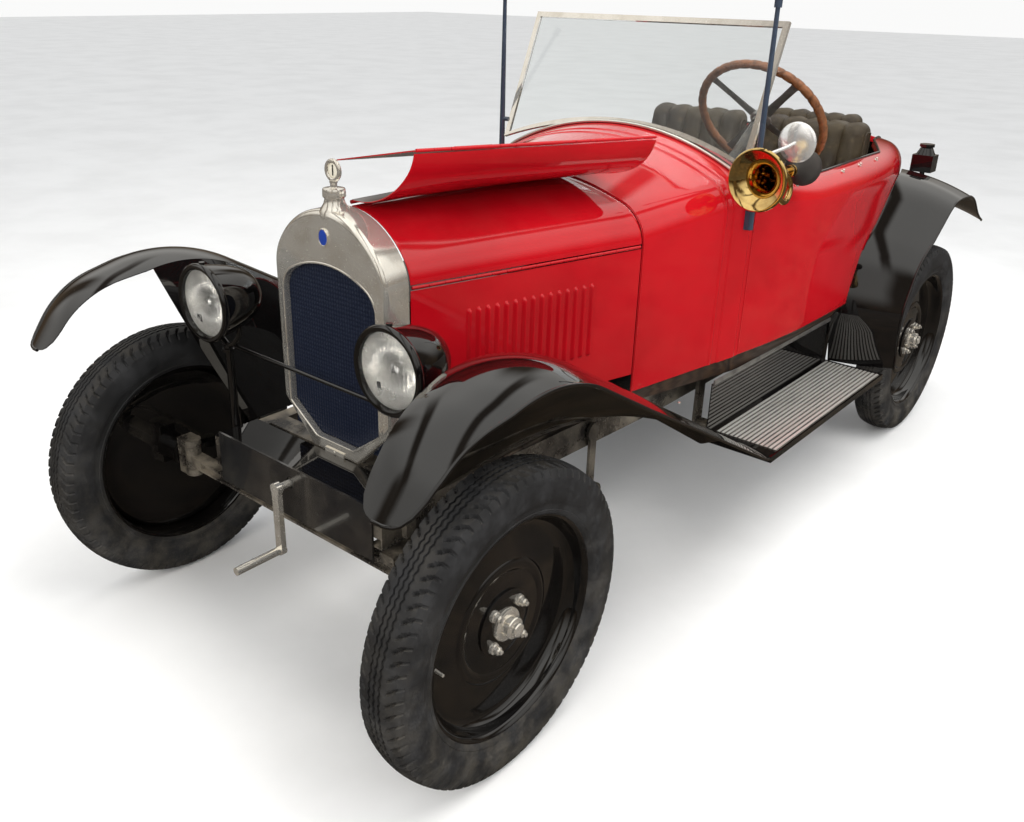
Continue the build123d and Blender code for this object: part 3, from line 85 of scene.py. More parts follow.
def new_group(name: str, inputs: dict[str, float], outputs: dict[str, str]) -> bpy.types.NodeTree:
    """Starts a shader node group with named float inputs.

    Args:
        name: Name of the group.
        inputs: Input sockets with their defaults.
        outputs: Output sockets with their socket types.

    Returns:
        The group, holding its input and output nodes.
    """
    tree = bpy.data.node_groups.new(name, "ShaderNodeTree")
    for label, default in inputs.items():
        socket = tree.interface.new_socket(name=label, in_out="INPUT", socket_type="NodeSocketFloat")
        socket.default_value = default
    for label, kind in outputs.items():
        tree.interface.new_socket(name=label, in_out="OUTPUT", socket_type=kind)
    tree.nodes.new("NodeGroupInput")
    tree.nodes.new("NodeGroupOutput")
    return tree


class Graph:
    """Adds and links nodes in one node tree."""

    def __init__(self, tree: bpy.types.NodeTree) -> None:
        """Wraps a node tree.

        Args:
            tree: Tree to add nodes to.
        """
        self.tree = tree
        self.start = tree.nodes.get("Group Input")
        self.end = tree.nodes.get("Group Output")

    def add(self, kind: str, settings: dict[str, object] | None = None, **inputs: object) -> bpy.types.Node:
        """Adds a node, sets its options, and sets or links its inputs.

        Args:
            kind: Node type without its ShaderNode prefix.
            settings: Attributes of the node.
            **inputs: Values or sockets by input name, with underscores for spaces.

        Returns:
            The new node.
        """
        node = self.tree.nodes.new("ShaderNode" + kind)
        for key, value in (settings or {}).items():
            setattr(node, key, value)
        for key, value in inputs.items():
            name = key.replace("_", " ")
            index = int(key[2:]) if key.startswith("in") and key[2:].isdigit() else None
            self.put(node.inputs[index if index is not None else name], value)
        return node

    def put(self, socket: bpy.types.NodeSocket, value: object) -> None:
        """Sets a socket's value, or links another socket to it.

        Args:
            socket: Input to fill.
            value: Value or output socket.
        """
        if isinstance(value, bpy.types.NodeSocket):
            self.tree.links.new(value, socket)
        else:
            socket.default_value = value

    def use(self, group: bpy.types.NodeTree, **inputs: object) -> bpy.types.Node:
        """Places a node group and sets its inputs.

        Args:
            group: Group to place.
            **inputs: Values or sockets by input name.

        Returns:
            The node.
        """
        node = self.tree.nodes.new("ShaderNodeGroup")
        node.node_tree = group
        for key, value in inputs.items():
            self.put(node.inputs[key.replace("_", " ")], value)
        return node

    def math(self, operation: str, a: object, b: object = 0.0) -> bpy.types.NodeSocket:
        """Adds a Math node and returns its value."""
        return self.add("Math", {"operation": operation}, in0=a, in1=b).outputs[0]

    def ramp(self, value: object, low: float, high: float) -> bpy.types.NodeSocket:
        """Maps a value smoothly from low..high to 0..1."""
        node = self.add("MapRange", {"interpolation_type": "SMOOTHSTEP"}, in0=value, in1=low, in2=high)
        return node.outputs[0]

    def blend(self, factor: object, a: object, b: object) -> bpy.types.NodeSocket:
        """Mixes two colours.

        Args:
            factor: Share of the second.
            a: First colour.
            b: Second colour.

        Returns:
            The mixed colour.
        """
        node = self.add("Mix", {"data_type": "RGBA"})
        self.put(node.inputs[0], factor)
        self.put(node.inputs[6], a)
        self.put(node.inputs[7], b)
        return node.outputs[2]

    def mix(self, factor: object, a: object, b: object) -> bpy.types.NodeSocket:
        """Mixes two values.

        Args:
            factor: Share of the second.
            a: First value.
            b: Second value.

        Returns:
            The mixed value.
        """
        node = self.add("Mix", {"data_type": "FLOAT"})
        self.put(node.inputs[0], factor)
        self.put(node.inputs[2], a)
        self.put(node.inputs[3], b)
        return node.outputs[0]

    def position(self) -> bpy.types.NodeSocket:
        """Place on the piece, in its own frame."""
        return self.add("TexCoord").outputs["Object"]

    def noise(self, scale: object, detail: float = 3.0, rough: float = 0.55, stretch: Point | None = None,
              distort: float = 0.0) -> bpy.types.NodeSocket:
        """Adds fractal noise over the piece's own frame.

        Args:
            scale: Lumps per metre.
            detail: Octaves.
            rough: Weight of the finer octaves.
            stretch: Scale by axis.
            distort: Warp of the pattern.

        Returns:
            The noise value.
        """
        place = self.position()
        if stretch is not None:
            place = self.add("Mapping", {}, Vector=place, Scale=stretch).outputs[0]
        node = self.add("TexNoise", {}, Vector=place, Scale=scale, Detail=detail, Roughness=rough,
                        Distortion=distort)
        return node.outputs["Fac"]


class Effects:
    """Node groups that several finishes share, each built once."""

    def __init__(self) -> None:
        """Builds the shared groups."""
        self.dust = self._dust()
        self.smudge = self._smudge()
        self.chips = self._chips()
        self.grain = self._grain()

    def _dust(self) -> bpy.types.NodeTree:
        """Dust that settles on upward faces and gathers low on the car.

        Returns:
            The group.
        """
        tree = new_group("settled_dust", {"Amount": 0.3, "Scale": 9.0, "Low": 0.0, "High": 0.9},
                         {"Mask": "NodeSocketFloat"})
        g = Graph(tree)
        normal = g.add("NewGeometry").outputs["Normal"]
        up = g.add("SeparateXYZ", {}, in0=normal).outputs[2]
        height = g.add("SeparateXYZ", {}, in0=g.position()).outputs[2]
        low = g.add("MapRange", {}, in0=height, in1=g.start.outputs["Low"], in2=g.start.outputs["High"],
                    in3=1.0, in4=0.0).outputs[0]
        facing = g.ramp(up, 0.25, 1.0)
        patch = g.ramp(g.noise(g.start.outputs["Scale"], 5.0, 0.62), 0.38, 0.68)
        speck = g.ramp(g.noise(180.0, 2.0, 0.5), 0.5, 0.72)
        settled = g.math("MULTIPLY", g.math("ADD", g.math("MULTIPLY", facing, 0.55), low), patch)
        flecks = g.math("MULTIPLY", speck, g.math("MULTIPLY", low, 0.4))
        mask = g.math("MULTIPLY", g.math("ADD", settled, flecks), g.start.outputs["Amount"])
        clamp = g.add("Clamp", {}, in0=mask)
        g.put(g.end.inputs["Mask"], clamp.outputs[0])
        return tree

    def _smudge(self) -> bpy.types.NodeTree:
        """Wiped streaks and finger marks that change how shiny a face is.

        Returns:
            The group.
        """
        tree = new_group("wiped_smudge", {"Clean": 0.08, "Dull": 0.3, "Scale": 6.0},
                         {"Roughness": "NodeSocketFloat"})
        g = Graph(tree)
        broad = g.noise(g.start.outputs["Scale"], 4.0, 0.6, (1.0, 0.35, 1.0), 0.6)
        fine = g.noise(70.0, 3.0, 0.6, (1.0, 0.08, 0.4))
        value = g.math("ADD", g.math("MULTIPLY", g.ramp(broad, 0.42, 0.75), 0.65),
                       g.math("MULTIPLY", g.ramp(fine, 0.45, 0.8), 0.35))
        g.put(g.end.inputs["Roughness"], g.mix(value, g.start.outputs["Clean"], g.start.outputs["Dull"]))
        return tree

    def _chips(self) -> bpy.types.NodeTree:
        """Small sharp flakes where paint has come off.

        Returns:
            The group.
        """
        tree = new_group("paint_chips", {"Amount": 0.5, "Scale": 60.0}, {"Mask": "NodeSocketFloat"})
        g = Graph(tree)
        cell = g.add("TexVoronoi", {"feature": "F1"}, Vector=g.position(), Scale=g.start.outputs["Scale"],
                     Randomness=1.0)
        breaks = g.noise(14.0, 4.0, 0.7)
        edge = g.math("ADD", cell.outputs["Distance"], g.math("MULTIPLY", g.noise(220.0, 2.0, 0.5), 0.35))
        limit = g.math("MULTIPLY", g.ramp(breaks, 0.5, 0.72), g.start.outputs["Amount"])
        mask = g.math("LESS_THAN", edge, limit)
        g.put(g.end.inputs["Mask"], mask)
        return tree

    def _grain(self) -> bpy.types.NodeTree:
        """Hide grain: small rounded cells with creases between them.

        Returns:
            The group.
        """
        tree = new_group("hide_grain", {"Scale": 260.0, "Crease": 0.5}, {"Height": "NodeSocketFloat"})
        g = Graph(tree)
        cell = g.add("TexVoronoi", {"feature": "DISTANCE_TO_EDGE"}, Vector=g.position(),
                     Scale=g.start.outputs["Scale"], Randomness=1.0)
        pebble = g.ramp(cell.outputs["Distance"], 0.0, 0.22)
        crease = g.ramp(g.noise(24.0, 5.0, 0.65, None, 1.2), 0.35, 0.65)
        height = g.math("ADD", pebble, g.math("MULTIPLY", crease, g.start.outputs["Crease"]))
        g.put(g.end.inputs["Height"], height)
        return tree


FX = Effects()

# Finishes


class Surface:
    """One material with a Principled shader and a graph to feed it."""

    def __init__(self, name: str) -> None:
        """Starts an empty material.

        Args:
            name: Name of the material.
        """
        self.material = bpy.data.materials.new(name)
        self.material.use_nodes = True
        self.graph = Graph(self.material.node_tree)
        self.shader = self.material.node_tree.nodes["Principled BSDF"]

    def set(self, **inputs: object) -> None:
        """Sets or links inputs of the shader, with underscores for spaces."""
        for key, value in inputs.items():
            self.graph.put(self.shader.inputs[key.replace("_", " ")], value)

    def bump(self, height: bpy.types.NodeSocket, distance: float, strength: float = 1.0) -> None:
        """Feeds a height to the shader's normal."""
        node = self.graph.add("Bump", {}, Height=height, Distance=distance, Strength=strength)
        self.set(Normal=node.outputs[0])


@dataclass(frozen=True)
class Enamel:
    """Glossy coach paint with dust, wiped streaks and a faint ripple."""

    name: str
    color: Point
    shade: Point
    dust: float = 0.12
    clean: float = 0.06
    dull: float = 0.22
    dust_color: Point = (0.42, 0.36, 0.27)
    chips: float = 0.0
    ripple: float = 0.00006

    def build(self) -> bpy.types.Material:
        """Makes the paint.

        Returns:
            The material.
        """
        s = Surface(self.name)
        g = s.graph
        tone = g.blend(g.ramp(g.noise(3.2, 4.0, 0.6), 0.35, 0.7), (*self.color, 1), (*self.shade, 1))
        dust = g.use(FX.dust, Amount=self.dust).outputs[0]
        color = g.blend(dust, tone, (*self.dust_color, 1))
        rough = g.use(FX.smudge, Clean=self.clean, Dull=self.dull).outputs[0]
        if self.chips > 0:
            chip = g.use(FX.chips, Amount=self.chips).outputs[0]
            color = g.blend(chip, color, (0.62, 0.55, 0.5, 1))
            rough = g.mix(chip, rough, 0.6)
        s.set(Base_Color=color, Roughness=g.mix(dust, rough, 0.75), IOR=1.5, Coat_Weight=0.6,
              Coat_Roughness=0.03)
        s.bump(g.noise(55.0, 2.0, 0.5), self.ripple)
        return s.material


@dataclass(frozen=True)
class Plating:
    """Polished metal plate with haze, smudges and small pits."""

    name: str
    color: Point
    haze: Point
    clean: float = 0.08
    dull: float = 0.3
    pits: float = 0.25
    metallic: float = 1.0

    def build(self) -> bpy.types.Material:
        """Makes the plate.

        Returns:
            The material.
        """
        s = Surface(self.name)
        g = s.graph
        cloud = g.ramp(g.noise(11.0, 6.0, 0.65), 0.4, 0.72)
        pit = g.ramp(g.noise(240.0, 3.0, 0.6), 0.66, 0.74)
        color = g.blend(cloud, (*self.color, 1), (*self.haze, 1))
        color = g.blend(g.math("MULTIPLY", pit, self.pits), color, (0.12, 0.09, 0.06, 1))
        rough = g.use(FX.smudge, Clean=self.clean, Dull=self.dull, Scale=9.0).outputs[0]
        s.set(Base_Color=color, Metallic=self.metallic, Roughness=g.mix(pit, rough, 0.55))
        s.bump(g.math("ADD", g.noise(40.0, 3.0, 0.5), g.math("MULTIPLY", pit, -0.6)), 0.00012)
        return s.material


@dataclass(frozen=True)
class Rubber:
    """Matt rubber with a fine skin, grey bloom and trodden dust."""

    name: str
    color: Point
    bloom: Point
    grain: float = 320.0
    depth: float = 0.0003
    dust: float = 0.45

    def build(self) -> bpy.types.Material:
        """Makes the rubber.

        Returns:
            The material.
        """
        s = Surface(self.name)
        g = s.graph
        worn = g.ramp(g.noise(16.0, 6.0, 0.68), 0.35, 0.75)
        color = g.blend(worn, (*self.color, 1), (*self.bloom, 1))
        dust = g.use(FX.dust, Amount=self.dust, High=0.6, Scale=14.0).outputs[0]
        color = g.blend(dust, color, (0.33, 0.28, 0.2, 1))
        s.set(Base_Color=color, Roughness=g.mix(worn, 0.5, 0.78), Specular_IOR_Level=0.4)
        s.bump(g.math("ADD", g.noise(self.grain, 3.0, 0.6), g.math("MULTIPLY", worn, 0.4)), self.depth)
        return s.material


@dataclass(frozen=True)
class Hide:
    """Worn leather with grain, creases and rubbed high places."""

    name: str
    color: Point
    rubbed: Point
    deep: Point

    def build(self) -> bpy.types.Material:
        """Makes the leather.

        Returns:
            The material.
        """
        s = Surface(self.name)
        g = s.graph
        patch = g.ramp(g.noise(7.0, 5.0, 0.62), 0.35, 0.7)
        color = g.blend(patch, (*self.color, 1), (*self.deep, 1))
        rub = g.ramp(g.noise(26.0, 6.0, 0.7, None, 0.8), 0.52, 0.76)
        color = g.blend(g.math("MULTIPLY", rub, 0.7), color, (*self.rubbed, 1))
        grain = g.use(FX.grain, Scale=230.0, Crease=0.9).outputs[0]
        s.set(Base_Color=color, Roughness=g.mix(rub, 0.38, 0.62), Coat_Weight=0.12, Coat_Roughness=0.3)
        s.bump(grain, 0.0005, 0.8)
        return s.material


@dataclass(frozen=True)
class BareSteel:
    """Oiled or painted steel with streaks and a little rust."""

    name: str
    color: Point
    rust: float = 0.3
    metallic: float = 0.8
    rough: float = 0.42

    def build(self) -> bpy.types.Material:
        """Makes the steel.

        Returns:
            The material.
        """
        s = Surface(self.name)
        g = s.graph
        cloud = g.ramp(g.noise(18.0, 6.0, 0.66), 0.45, 0.72)
        dark = tuple(c * 0.55 for c in self.color)
        color = g.blend(cloud, (*self.color, 1), (*dark, 1))
        spot = g.math("MULTIPLY", g.ramp(g.noise(52.0, 5.0, 0.7), 0.56, 0.7), self.rust)
        color = g.blend(spot, color, (0.17, 0.075, 0.03, 1))
        s.set(Base_Color=color, Metallic=g.mix(spot, self.metallic, 0.1),
              Roughness=g.mix(spot, self.rough, 0.85))
        s.bump(g.noise(130.0, 4.0, 0.6), 0.0003)
        return s.material


@dataclass(frozen=True)
class ScuffedPlate:
    """Cast and rolled aluminium, scuffed along its length, with dirt between its ribs."""

    name: str

    def build(self) -> bpy.types.Material:
        """Makes the plate.

        Returns:
            The material.
        """
        s = Surface(self.name)
        g = s.graph
        streak = g.noise(42.0, 5.0, 0.66, (1.0, 0.06, 1.0))
        height = g.add("SeparateXYZ", {}, in0=g.position()).outputs[2]
        top = g.ramp(height, 0.3462, 0.3477)
        dirt = g.ramp(g.noise(24.0, 5.0, 0.6), 0.3, 0.7)
        bright = g.blend(g.ramp(streak, 0.4, 0.7), (0.86, 0.84, 0.79, 1), (0.66, 0.64, 0.6, 1))
        low = g.blend(dirt, (0.13, 0.12, 0.1, 1), (0.05, 0.045, 0.04, 1))
        s.set(Base_Color=g.blend(top, low, bright), Metallic=g.mix(top, 0.25, 0.7),
              Roughness=g.mix(top, 0.75, g.mix(streak, 0.28, 0.5)))
        s.bump(streak, 0.0002)
        return s.material


@dataclass(frozen=True)
class Pane:
    """Clear glass with faint smears."""

    name: str
    tint: Point

    def build(self) -> bpy.types.Material:
        """Makes the glass.

        Returns:
            The material.
        """
        s = Surface(self.name)
        smear = s.graph.ramp(s.graph.noise(9.0, 5.0, 0.65, (1.0, 0.4, 1.0)), 0.5, 0.8)
        s.set(Base_Color=(*self.tint, 1), Roughness=s.graph.mix(smear, 0.01, 0.05),
              Transmission_Weight=1.0, IOR=1.5)
        return s.material


@dataclass(frozen=True)
class Boards:
    """Floor boards with long grain and worn edges."""

    name: str

    def build(self) -> bpy.types.Material:
        """Makes the wood.

        Returns:
            The material.
        """
        s = Surface(self.name)
        g = s.graph
        place = g.add("Mapping", {}, Vector=g.position(), Scale=(9.0, 0.9, 9.0)).outputs[0]
        grain = g.add("TexWave", {"wave_type": "BANDS", "bands_direction": "X"}, Vector=place, Scale=3.0,
                      Distortion=7.0, Detail=4.0, Detail_Scale=1.6).outputs["Fac"]
        x = g.add("SeparateXYZ", {}, in0=g.position()).outputs[0]
        split = g.math("ABSOLUTE", g.math("SINE", g.math("MULTIPLY", x, math.pi / 0.11)))
        joint = g.ramp(split, 0.0, 0.07)
        color = g.blend(grain, (0.05, 0.028, 0.016, 1), (0.025, 0.014, 0.009, 1))
        color = g.blend(g.ramp(g.noise(8.0, 5.0, 0.6), 0.4, 0.7), color, (0.035, 0.024, 0.018, 1))
        s.set(Base_Color=g.blend(joint, (0.015, 0.01, 0.008, 1), color), Roughness=g.mix(grain, 0.5, 0.72))
        s.bump(g.math("ADD", g.math("MULTIPLY", joint, 2.0), grain), 0.0006)
        return s.material


@dataclass(frozen=True)
class CoreMetal:
    """Blue-black lacquer over thin cooling strips, with a painted pale-blue glint on the forward ridges."""

    name: str

    def build(self) -> bpy.types.Material:
        """Makes the lacquer.

        Returns:
            The material.
        """
        s = Surface(self.name)
        g = s.graph
        glint_and_wear = g.ramp(g.noise(70.0, 5.0, 0.7), 0.52, 0.75)
        depth = g.add("SeparateXYZ", {}, in0=g.position()).outputs[1]
        # Painted glint: the forward-most ridges of the folds turn pale blue, broken up by noise that also
        # varies the roughness.
        ridge = g.ramp(depth, -1.1672, -1.1705)
        color = g.blend(g.math("MULTIPLY", ridge, glint_and_wear), (0.012, 0.018, 0.04, 1), (0.2, 0.24, 0.33, 1))
        s.set(Base_Color=color, Metallic=0.35, Roughness=g.mix(glint_and_wear, 0.36, 0.6))
        s.bump(g.noise(300.0, 2.0, 0.5), 0.0002)
        return s.material


@dataclass(frozen=True)
class Moulded:
    """Moulded brown grip material, polished by hands."""

    name: str
    color: Point

    def build(self) -> bpy.types.Material:
        """Makes the grip material.

        Returns:
            The material.
        """
        s = Surface(self.name)
        g = s.graph
        swirl = g.noise(34.0, 5.0, 0.6, None, 1.5)
        dark = tuple(c * 0.4 for c in self.color)
        color = g.blend(g.ramp(swirl, 0.35, 0.7), (*self.color, 1), (*dark, 1))
        s.set(Base_Color=color, Roughness=g.mix(swirl, 0.22, 0.45), Coat_Weight=0.3, Coat_Roughness=0.12)
        s.bump(g.noise(160.0, 3.0, 0.5), 0.0001)
        return s.material


# Meshes


def at(x: float, station: float, z: float) -> Vector:
    """Place on the car, from millimetres and a station behind the front axle to metres in the frame."""
    return Vector((x / 1000, (station - MID_STATION) / 1000, z / 1000))


def smooth_step(value: float, low: float, high: float) -> float:
    """Smooth change from 0 at low to 1 at high."""
    t = min(max((value - low) / (high - low), 0.0), 1.0)
    return t * t * (3 - 2 * t)


def turns(count: int) -> list[float]:
    """Even angles round a circle."""
    return [2 * math.pi * k / count for k in range(count)]


def polar(radius: float, angle: float, height: float = 0.0) -> Vector:
    """Point in metres, from a radius and a height in millimetres and an angle."""
    return Vector((radius * math.cos(angle), radius * math.sin(angle), height)) / 1000


def lay(outline: Iterable[Flat], station: float) -> list[Vector]:
    """Sets an upright outline of (x, z) at a station."""
    return [at(x, station, z) for x, z in outline]


def whole(half: Sequence[Flat]) -> list[Flat]:
    """A half outline that ends in the middle, and its mirror image after it."""
    return list(half) + [(-x, z) for x, z in reversed(half[:-1])]


def reach(path: Sequence[Flat]) -> list[float]:
    """Distance along a path from its start to each point.

    Args:
        path: Points in order.

    Returns:
        One length for each point.
    """
    lengths = [0.0]
    for a, b in zip(path, path[1:]):
        lengths.append(lengths[-1] + math.dist(a, b))
    return lengths


def normal_at(path: Sequence[Flat], index: int) -> Vector:
    """Normal of a path at one of its points.

    Args:
        path: Points in order.
        index: Place in the path.

    Returns:
        Unit vector across the path.
    """
    a = Vector(path[max(index - 1, 0)])
    b = Vector(path[min(index + 1, len(path) - 1)])
    tangent = (b - a).normalized()
    return Vector((-tangent.y, tangent.x))


def facing(origin: Vector, axis: Vector, up: Vector = UP) -> Matrix:
    """Frame at an origin whose z runs along an axis and whose x lies towards up.

    Args:
        origin: Place of the frame.
        axis: Direction of z.
        up: Side that x leans to.

    Returns:
        The frame's matrix.
    """
    z = axis.normalized()
    y = z.cross(up).normalized()
    x = y.cross(z)
    turn = Matrix((x, y, z)).transposed().to_4x4()
    return Matrix.Translation(origin) @ turn


def arc_path(points: Sequence[Flat], radii: Sequence[float], step: float) -> list[Flat]:
    """Rounds the corners of a path with tangent arcs and walks along it.

    Args:
        points: Corners of the path.
        radii: Radius at each inner corner.
        step: Longest distance between two points of an arc.

    Returns:
        Points along the runs and arcs.
    """
    line = [Vector(points[0])]
    for index, radius in enumerate(radii):
        a, b, c = (Vector(points[index + k]) for k in range(3))
        before, after = (b - a).normalized(), (c - b).normalized()
        turn = before.angle(after)
        reach = radius * math.tan(turn / 2)
        start = b - before * reach
        normal = Vector((-before.y, before.x))
        sign = 1 if before.x * after.y - before.y * after.x > 0 else -1
        centre = start + normal * radius * sign
        count = max(3, int(radius * turn / step))
        for k in range(count + 1):
            angle = sign * turn * k / count
            spoke = start - centre
            line.append(centre + Vector((spoke.x * math.cos(angle) - spoke.y * math.sin(angle),
                                         spoke.x * math.sin(angle) + spoke.y * math.cos(angle))))
    line.append(Vector(points[-1]))
    out = [line[0]]
    for point in line[1:]:
        gap = (point - out[-1]).length
        for k in range(1, max(1, int(gap / step)) + 1):
            share = k / max(1, int(gap / step))
            out.append(out[-1].lerp(point, share) if share < 1 else point)
    cleaned = [out[0]]
    for point in out[1:]:
        if (point - cleaned[-1]).length > step * 0.2:
            cleaned.append(point)
    return [(p.x, p.y) for p in cleaned]


class Form:
    """A mesh under construction, in metres in the frame."""

    def __init__(self) -> None:
        """Starts empty."""
        self.points: list[Vector] = []
        self.faces: list[tuple[int, ...]] = []
        self.kinds: list[int] = []

    def face(self, corners: Iterable[int], kind: int = 0) -> None:
        """Adds one face by its corners' numbers."""
        self.faces.append(tuple(corners))
        self.kinds.append(kind)

    def grid(self, rows: Sequence[Sequence[Vector]], around: bool = False, along: bool = False,
             kind: int = 0, flip: bool = False, keep: Callable[[int, int], bool] | None = None) -> None:
        """Adds a net of quads.

        Args:
            rows: Equal rows of points.
            around: Whether each row closes on itself.
            along: Whether the last row meets the first.
            kind: Material number.
            flip: Whether the faces turn the other way.
            keep: Says which quads stay, by row and column.
        """
        base, width = len(self.points), len(rows[0])
        for row in rows:
            self.points.extend(row)
        for r in range(len(rows) - (0 if along else 1)):
            for c in range(width - (0 if around else 1)):
                if keep is not None and not keep(r, c):
                    continue
                r2, c2 = (r + 1) % len(rows), (c + 1) % width
                quad = [base + r * width + c, base + r * width + c2,
                        base + r2 * width + c2, base + r2 * width + c]
                self.face(reversed(quad) if flip else quad, kind)

    def cap(self, ring: Sequence[Vector], kind: int = 0, flip: bool = False) -> None:
        """Closes a ring of points with one face.

        Args:
            ring: Points round the face.
            kind: Material index.
            flip: Turns the face over.
        """
        base = len(self.points)
        self.points.extend(ring)
        order = range(base, base + len(ring))
        self.face(reversed(order) if flip else order, kind)

    def lathe(self, outline: Sequence[Flat], place: Matrix, steps: int, kind: int = 0) -> None:
        """Turns a closed outline of (radius, height) in millimetres about the z axis of a place."""
        rows = [[place @ polar(r, angle, h) for angle in turns(steps)] for r, h in outline]
        self.grid(rows, around=True, along=True, kind=kind)

    def tube(self, path: Sequence[Vector], radius: float | Sequence[float], sides: int = 12, kind: int = 0,
             closed: bool = False) -> None:
        """Runs a round bar along a path in metres; the radius is in millimetres.

        Args:
            path: Middle line.
            radius: One radius, or one for each point.
            sides: Sides of the bar.
            kind: Material index.
            closed: Joins the end to the start.
        """
        count = len(path)
        radii = [radius] * count if isinstance(radius, (int, float)) else list(radius)
        previous = None
        rows = []
        for index, point in enumerate(path):
            ahead = path[(index + 1) % count] if closed or index < count - 1 else point
            behind = path[index - 1] if closed or index > 0 else point
            tangent = (ahead - behind).normalized()
            if previous is None:
                helper = UP if abs(tangent.z) < 0.9 else Vector((1, 0, 0))
                previous = tangent.cross(helper).normalized()
            side = (previous - tangent * previous.dot(tangent)).normalized()
            previous = side
            up = tangent.cross(side)
            rows.append([point + (side * math.cos(angle) + up * math.sin(angle)) * (radii[index] / 1000)
                         for angle in turns(sides)])
        self.grid(rows, around=True, along=closed, kind=kind)
        if not closed:
            self.cap(rows[0], kind)
            self.cap(rows[-1], kind, flip=True)

    def block(self, low: Point, high: Point) -> None:
        """Adds a block between two corners in metres.

        Args:
            low: Lowest corner.
            high: Highest corner.
        """
        base = len(self.points)
        for z in (low[2], high[2]):
            for x, y in ((low[0], low[1]), (high[0], low[1]), (high[0], high[1]), (low[0], high[1])):
                self.points.append(Vector((x, y, z)))
        for quad in ((3, 2, 1, 0), (4, 5, 6, 7), (0, 1, 5, 4), (1, 2, 6, 5), (2, 3, 7, 6), (3, 0, 4, 7)):
            self.face([base + k for k in quad])

    def mirror(self) -> None:
        """Adds the same form on the car's other side."""
        base, count = len(self.points), len(self.faces)
        self.points.extend([Vector((-p.x, p.y, p.z)) for p in self.points])
        for index in range(count):
            self.face([base + k for k in reversed(self.faces[index])], self.kinds[index])

    def move(self, place: Matrix) -> None:
        """Moves the whole form."""
        self.points = [place @ p for p in self.points]


@dataclass(frozen=True)
class Look:
    """How one piece is finished and joined to the car."""

    body: Body
    slot: str
    materials: tuple[bpy.types.Material, ...]
    replaces: tuple[str, ...] = ()
    bevel: float = 0.0
    wall: float = 0.0
    inner: int = 0
    crease: float = 38.0


def settle(obj: bpy.types.Object) -> None:
    """Applies a piece's modifiers to its mesh.

    Args:
        obj: The piece.
    """
    graph = bpy.context.evaluated_depsgraph_get()
    mesh = bpy.data.meshes.new_from_object(obj.evaluated_get(graph))
    obj.modifiers.clear()
    old = obj.data
    obj.data = mesh
    bpy.data.meshes.remove(old)


def make_piece(name: str, form: Form, look: Look) -> bpy.types.Object:
    """Turns a form into a dressed piece that rides on its body.

    Args:
        name: Name of the piece.
        form: Its mesh.
        look: Its body, materials and edge treatment.

    Returns:
        The piece.
    """
    mesh = bpy.data.meshes.new(name)
    mesh.from_pydata([tuple(p) for p in form.points], [], form.faces)
    mesh.polygons.foreach_set("material_index", form.kinds)
    for material in look.materials:
        mesh.materials.append(material)
    obj = bpy.data.objects.new(name, mesh)
    bpy.context.scene.collection.objects.link(obj)
    tool = bmesh.new()
    tool.from_mesh(mesh)
    bmesh.ops.remove_doubles(tool, verts=tool.verts, dist=0.00002)
    bmesh.ops.recalc_face_normals(tool, faces=tool.faces)
    tool.to_mesh(mesh)
    tool.free()
    if look.wall:
        shell = obj.modifiers.new("wall", "SOLIDIFY")
        shell.thickness = look.wall / 1000
        shell.offset = -1
        shell.material_offset = look.inner
    if look.bevel:
        edge = obj.modifiers.new("edge", "BEVEL")
        edge.width = look.bevel / 1000
        edge.segments = 3
        edge.angle_limit = math.radians(35)
    if obj.modifiers:
        settle(obj)
    obj.data.shade_smooth()
    obj.data.set_sharp_from_angle(angle=math.radians(look.crease))
    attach(obj, look.body.value)
    if look.replaces:
        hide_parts(*look.replaces)
    LOG.info("%s: %d faces on %s", name, len(obj.data.polygons), look.body.value)
    return obj


@dataclass(frozen=True)
class Palette:
    """Every finish of the car, built once."""

    red: bpy.types.Material
    seam: bpy.types.Material
    raw_inside: bpy.types.Material
    black: bpy.types.Material
    satin: bpy.types.Material
    chassis: bpy.types.Material
    nickel: bpy.types.Material
    brass: bpy.types.Material
    reflector: bpy.types.Material
    tyre: bpy.types.Material
    bulb: bpy.types.Material
    hide: bpy.types.Material
    lining: bpy.types.Material
    steel: bpy.types.Material
    iron: bpy.types.Material
    post: bpy.types.Material
    tread: bpy.types.Material
    pane: bpy.types.Material
    lens: bpy.types.Material
    boards: bpy.types.Material
    core: bpy.types.Material
    grip: bpy.types.Material
    badge: bpy.types.Material
    dial: bpy.types.Material


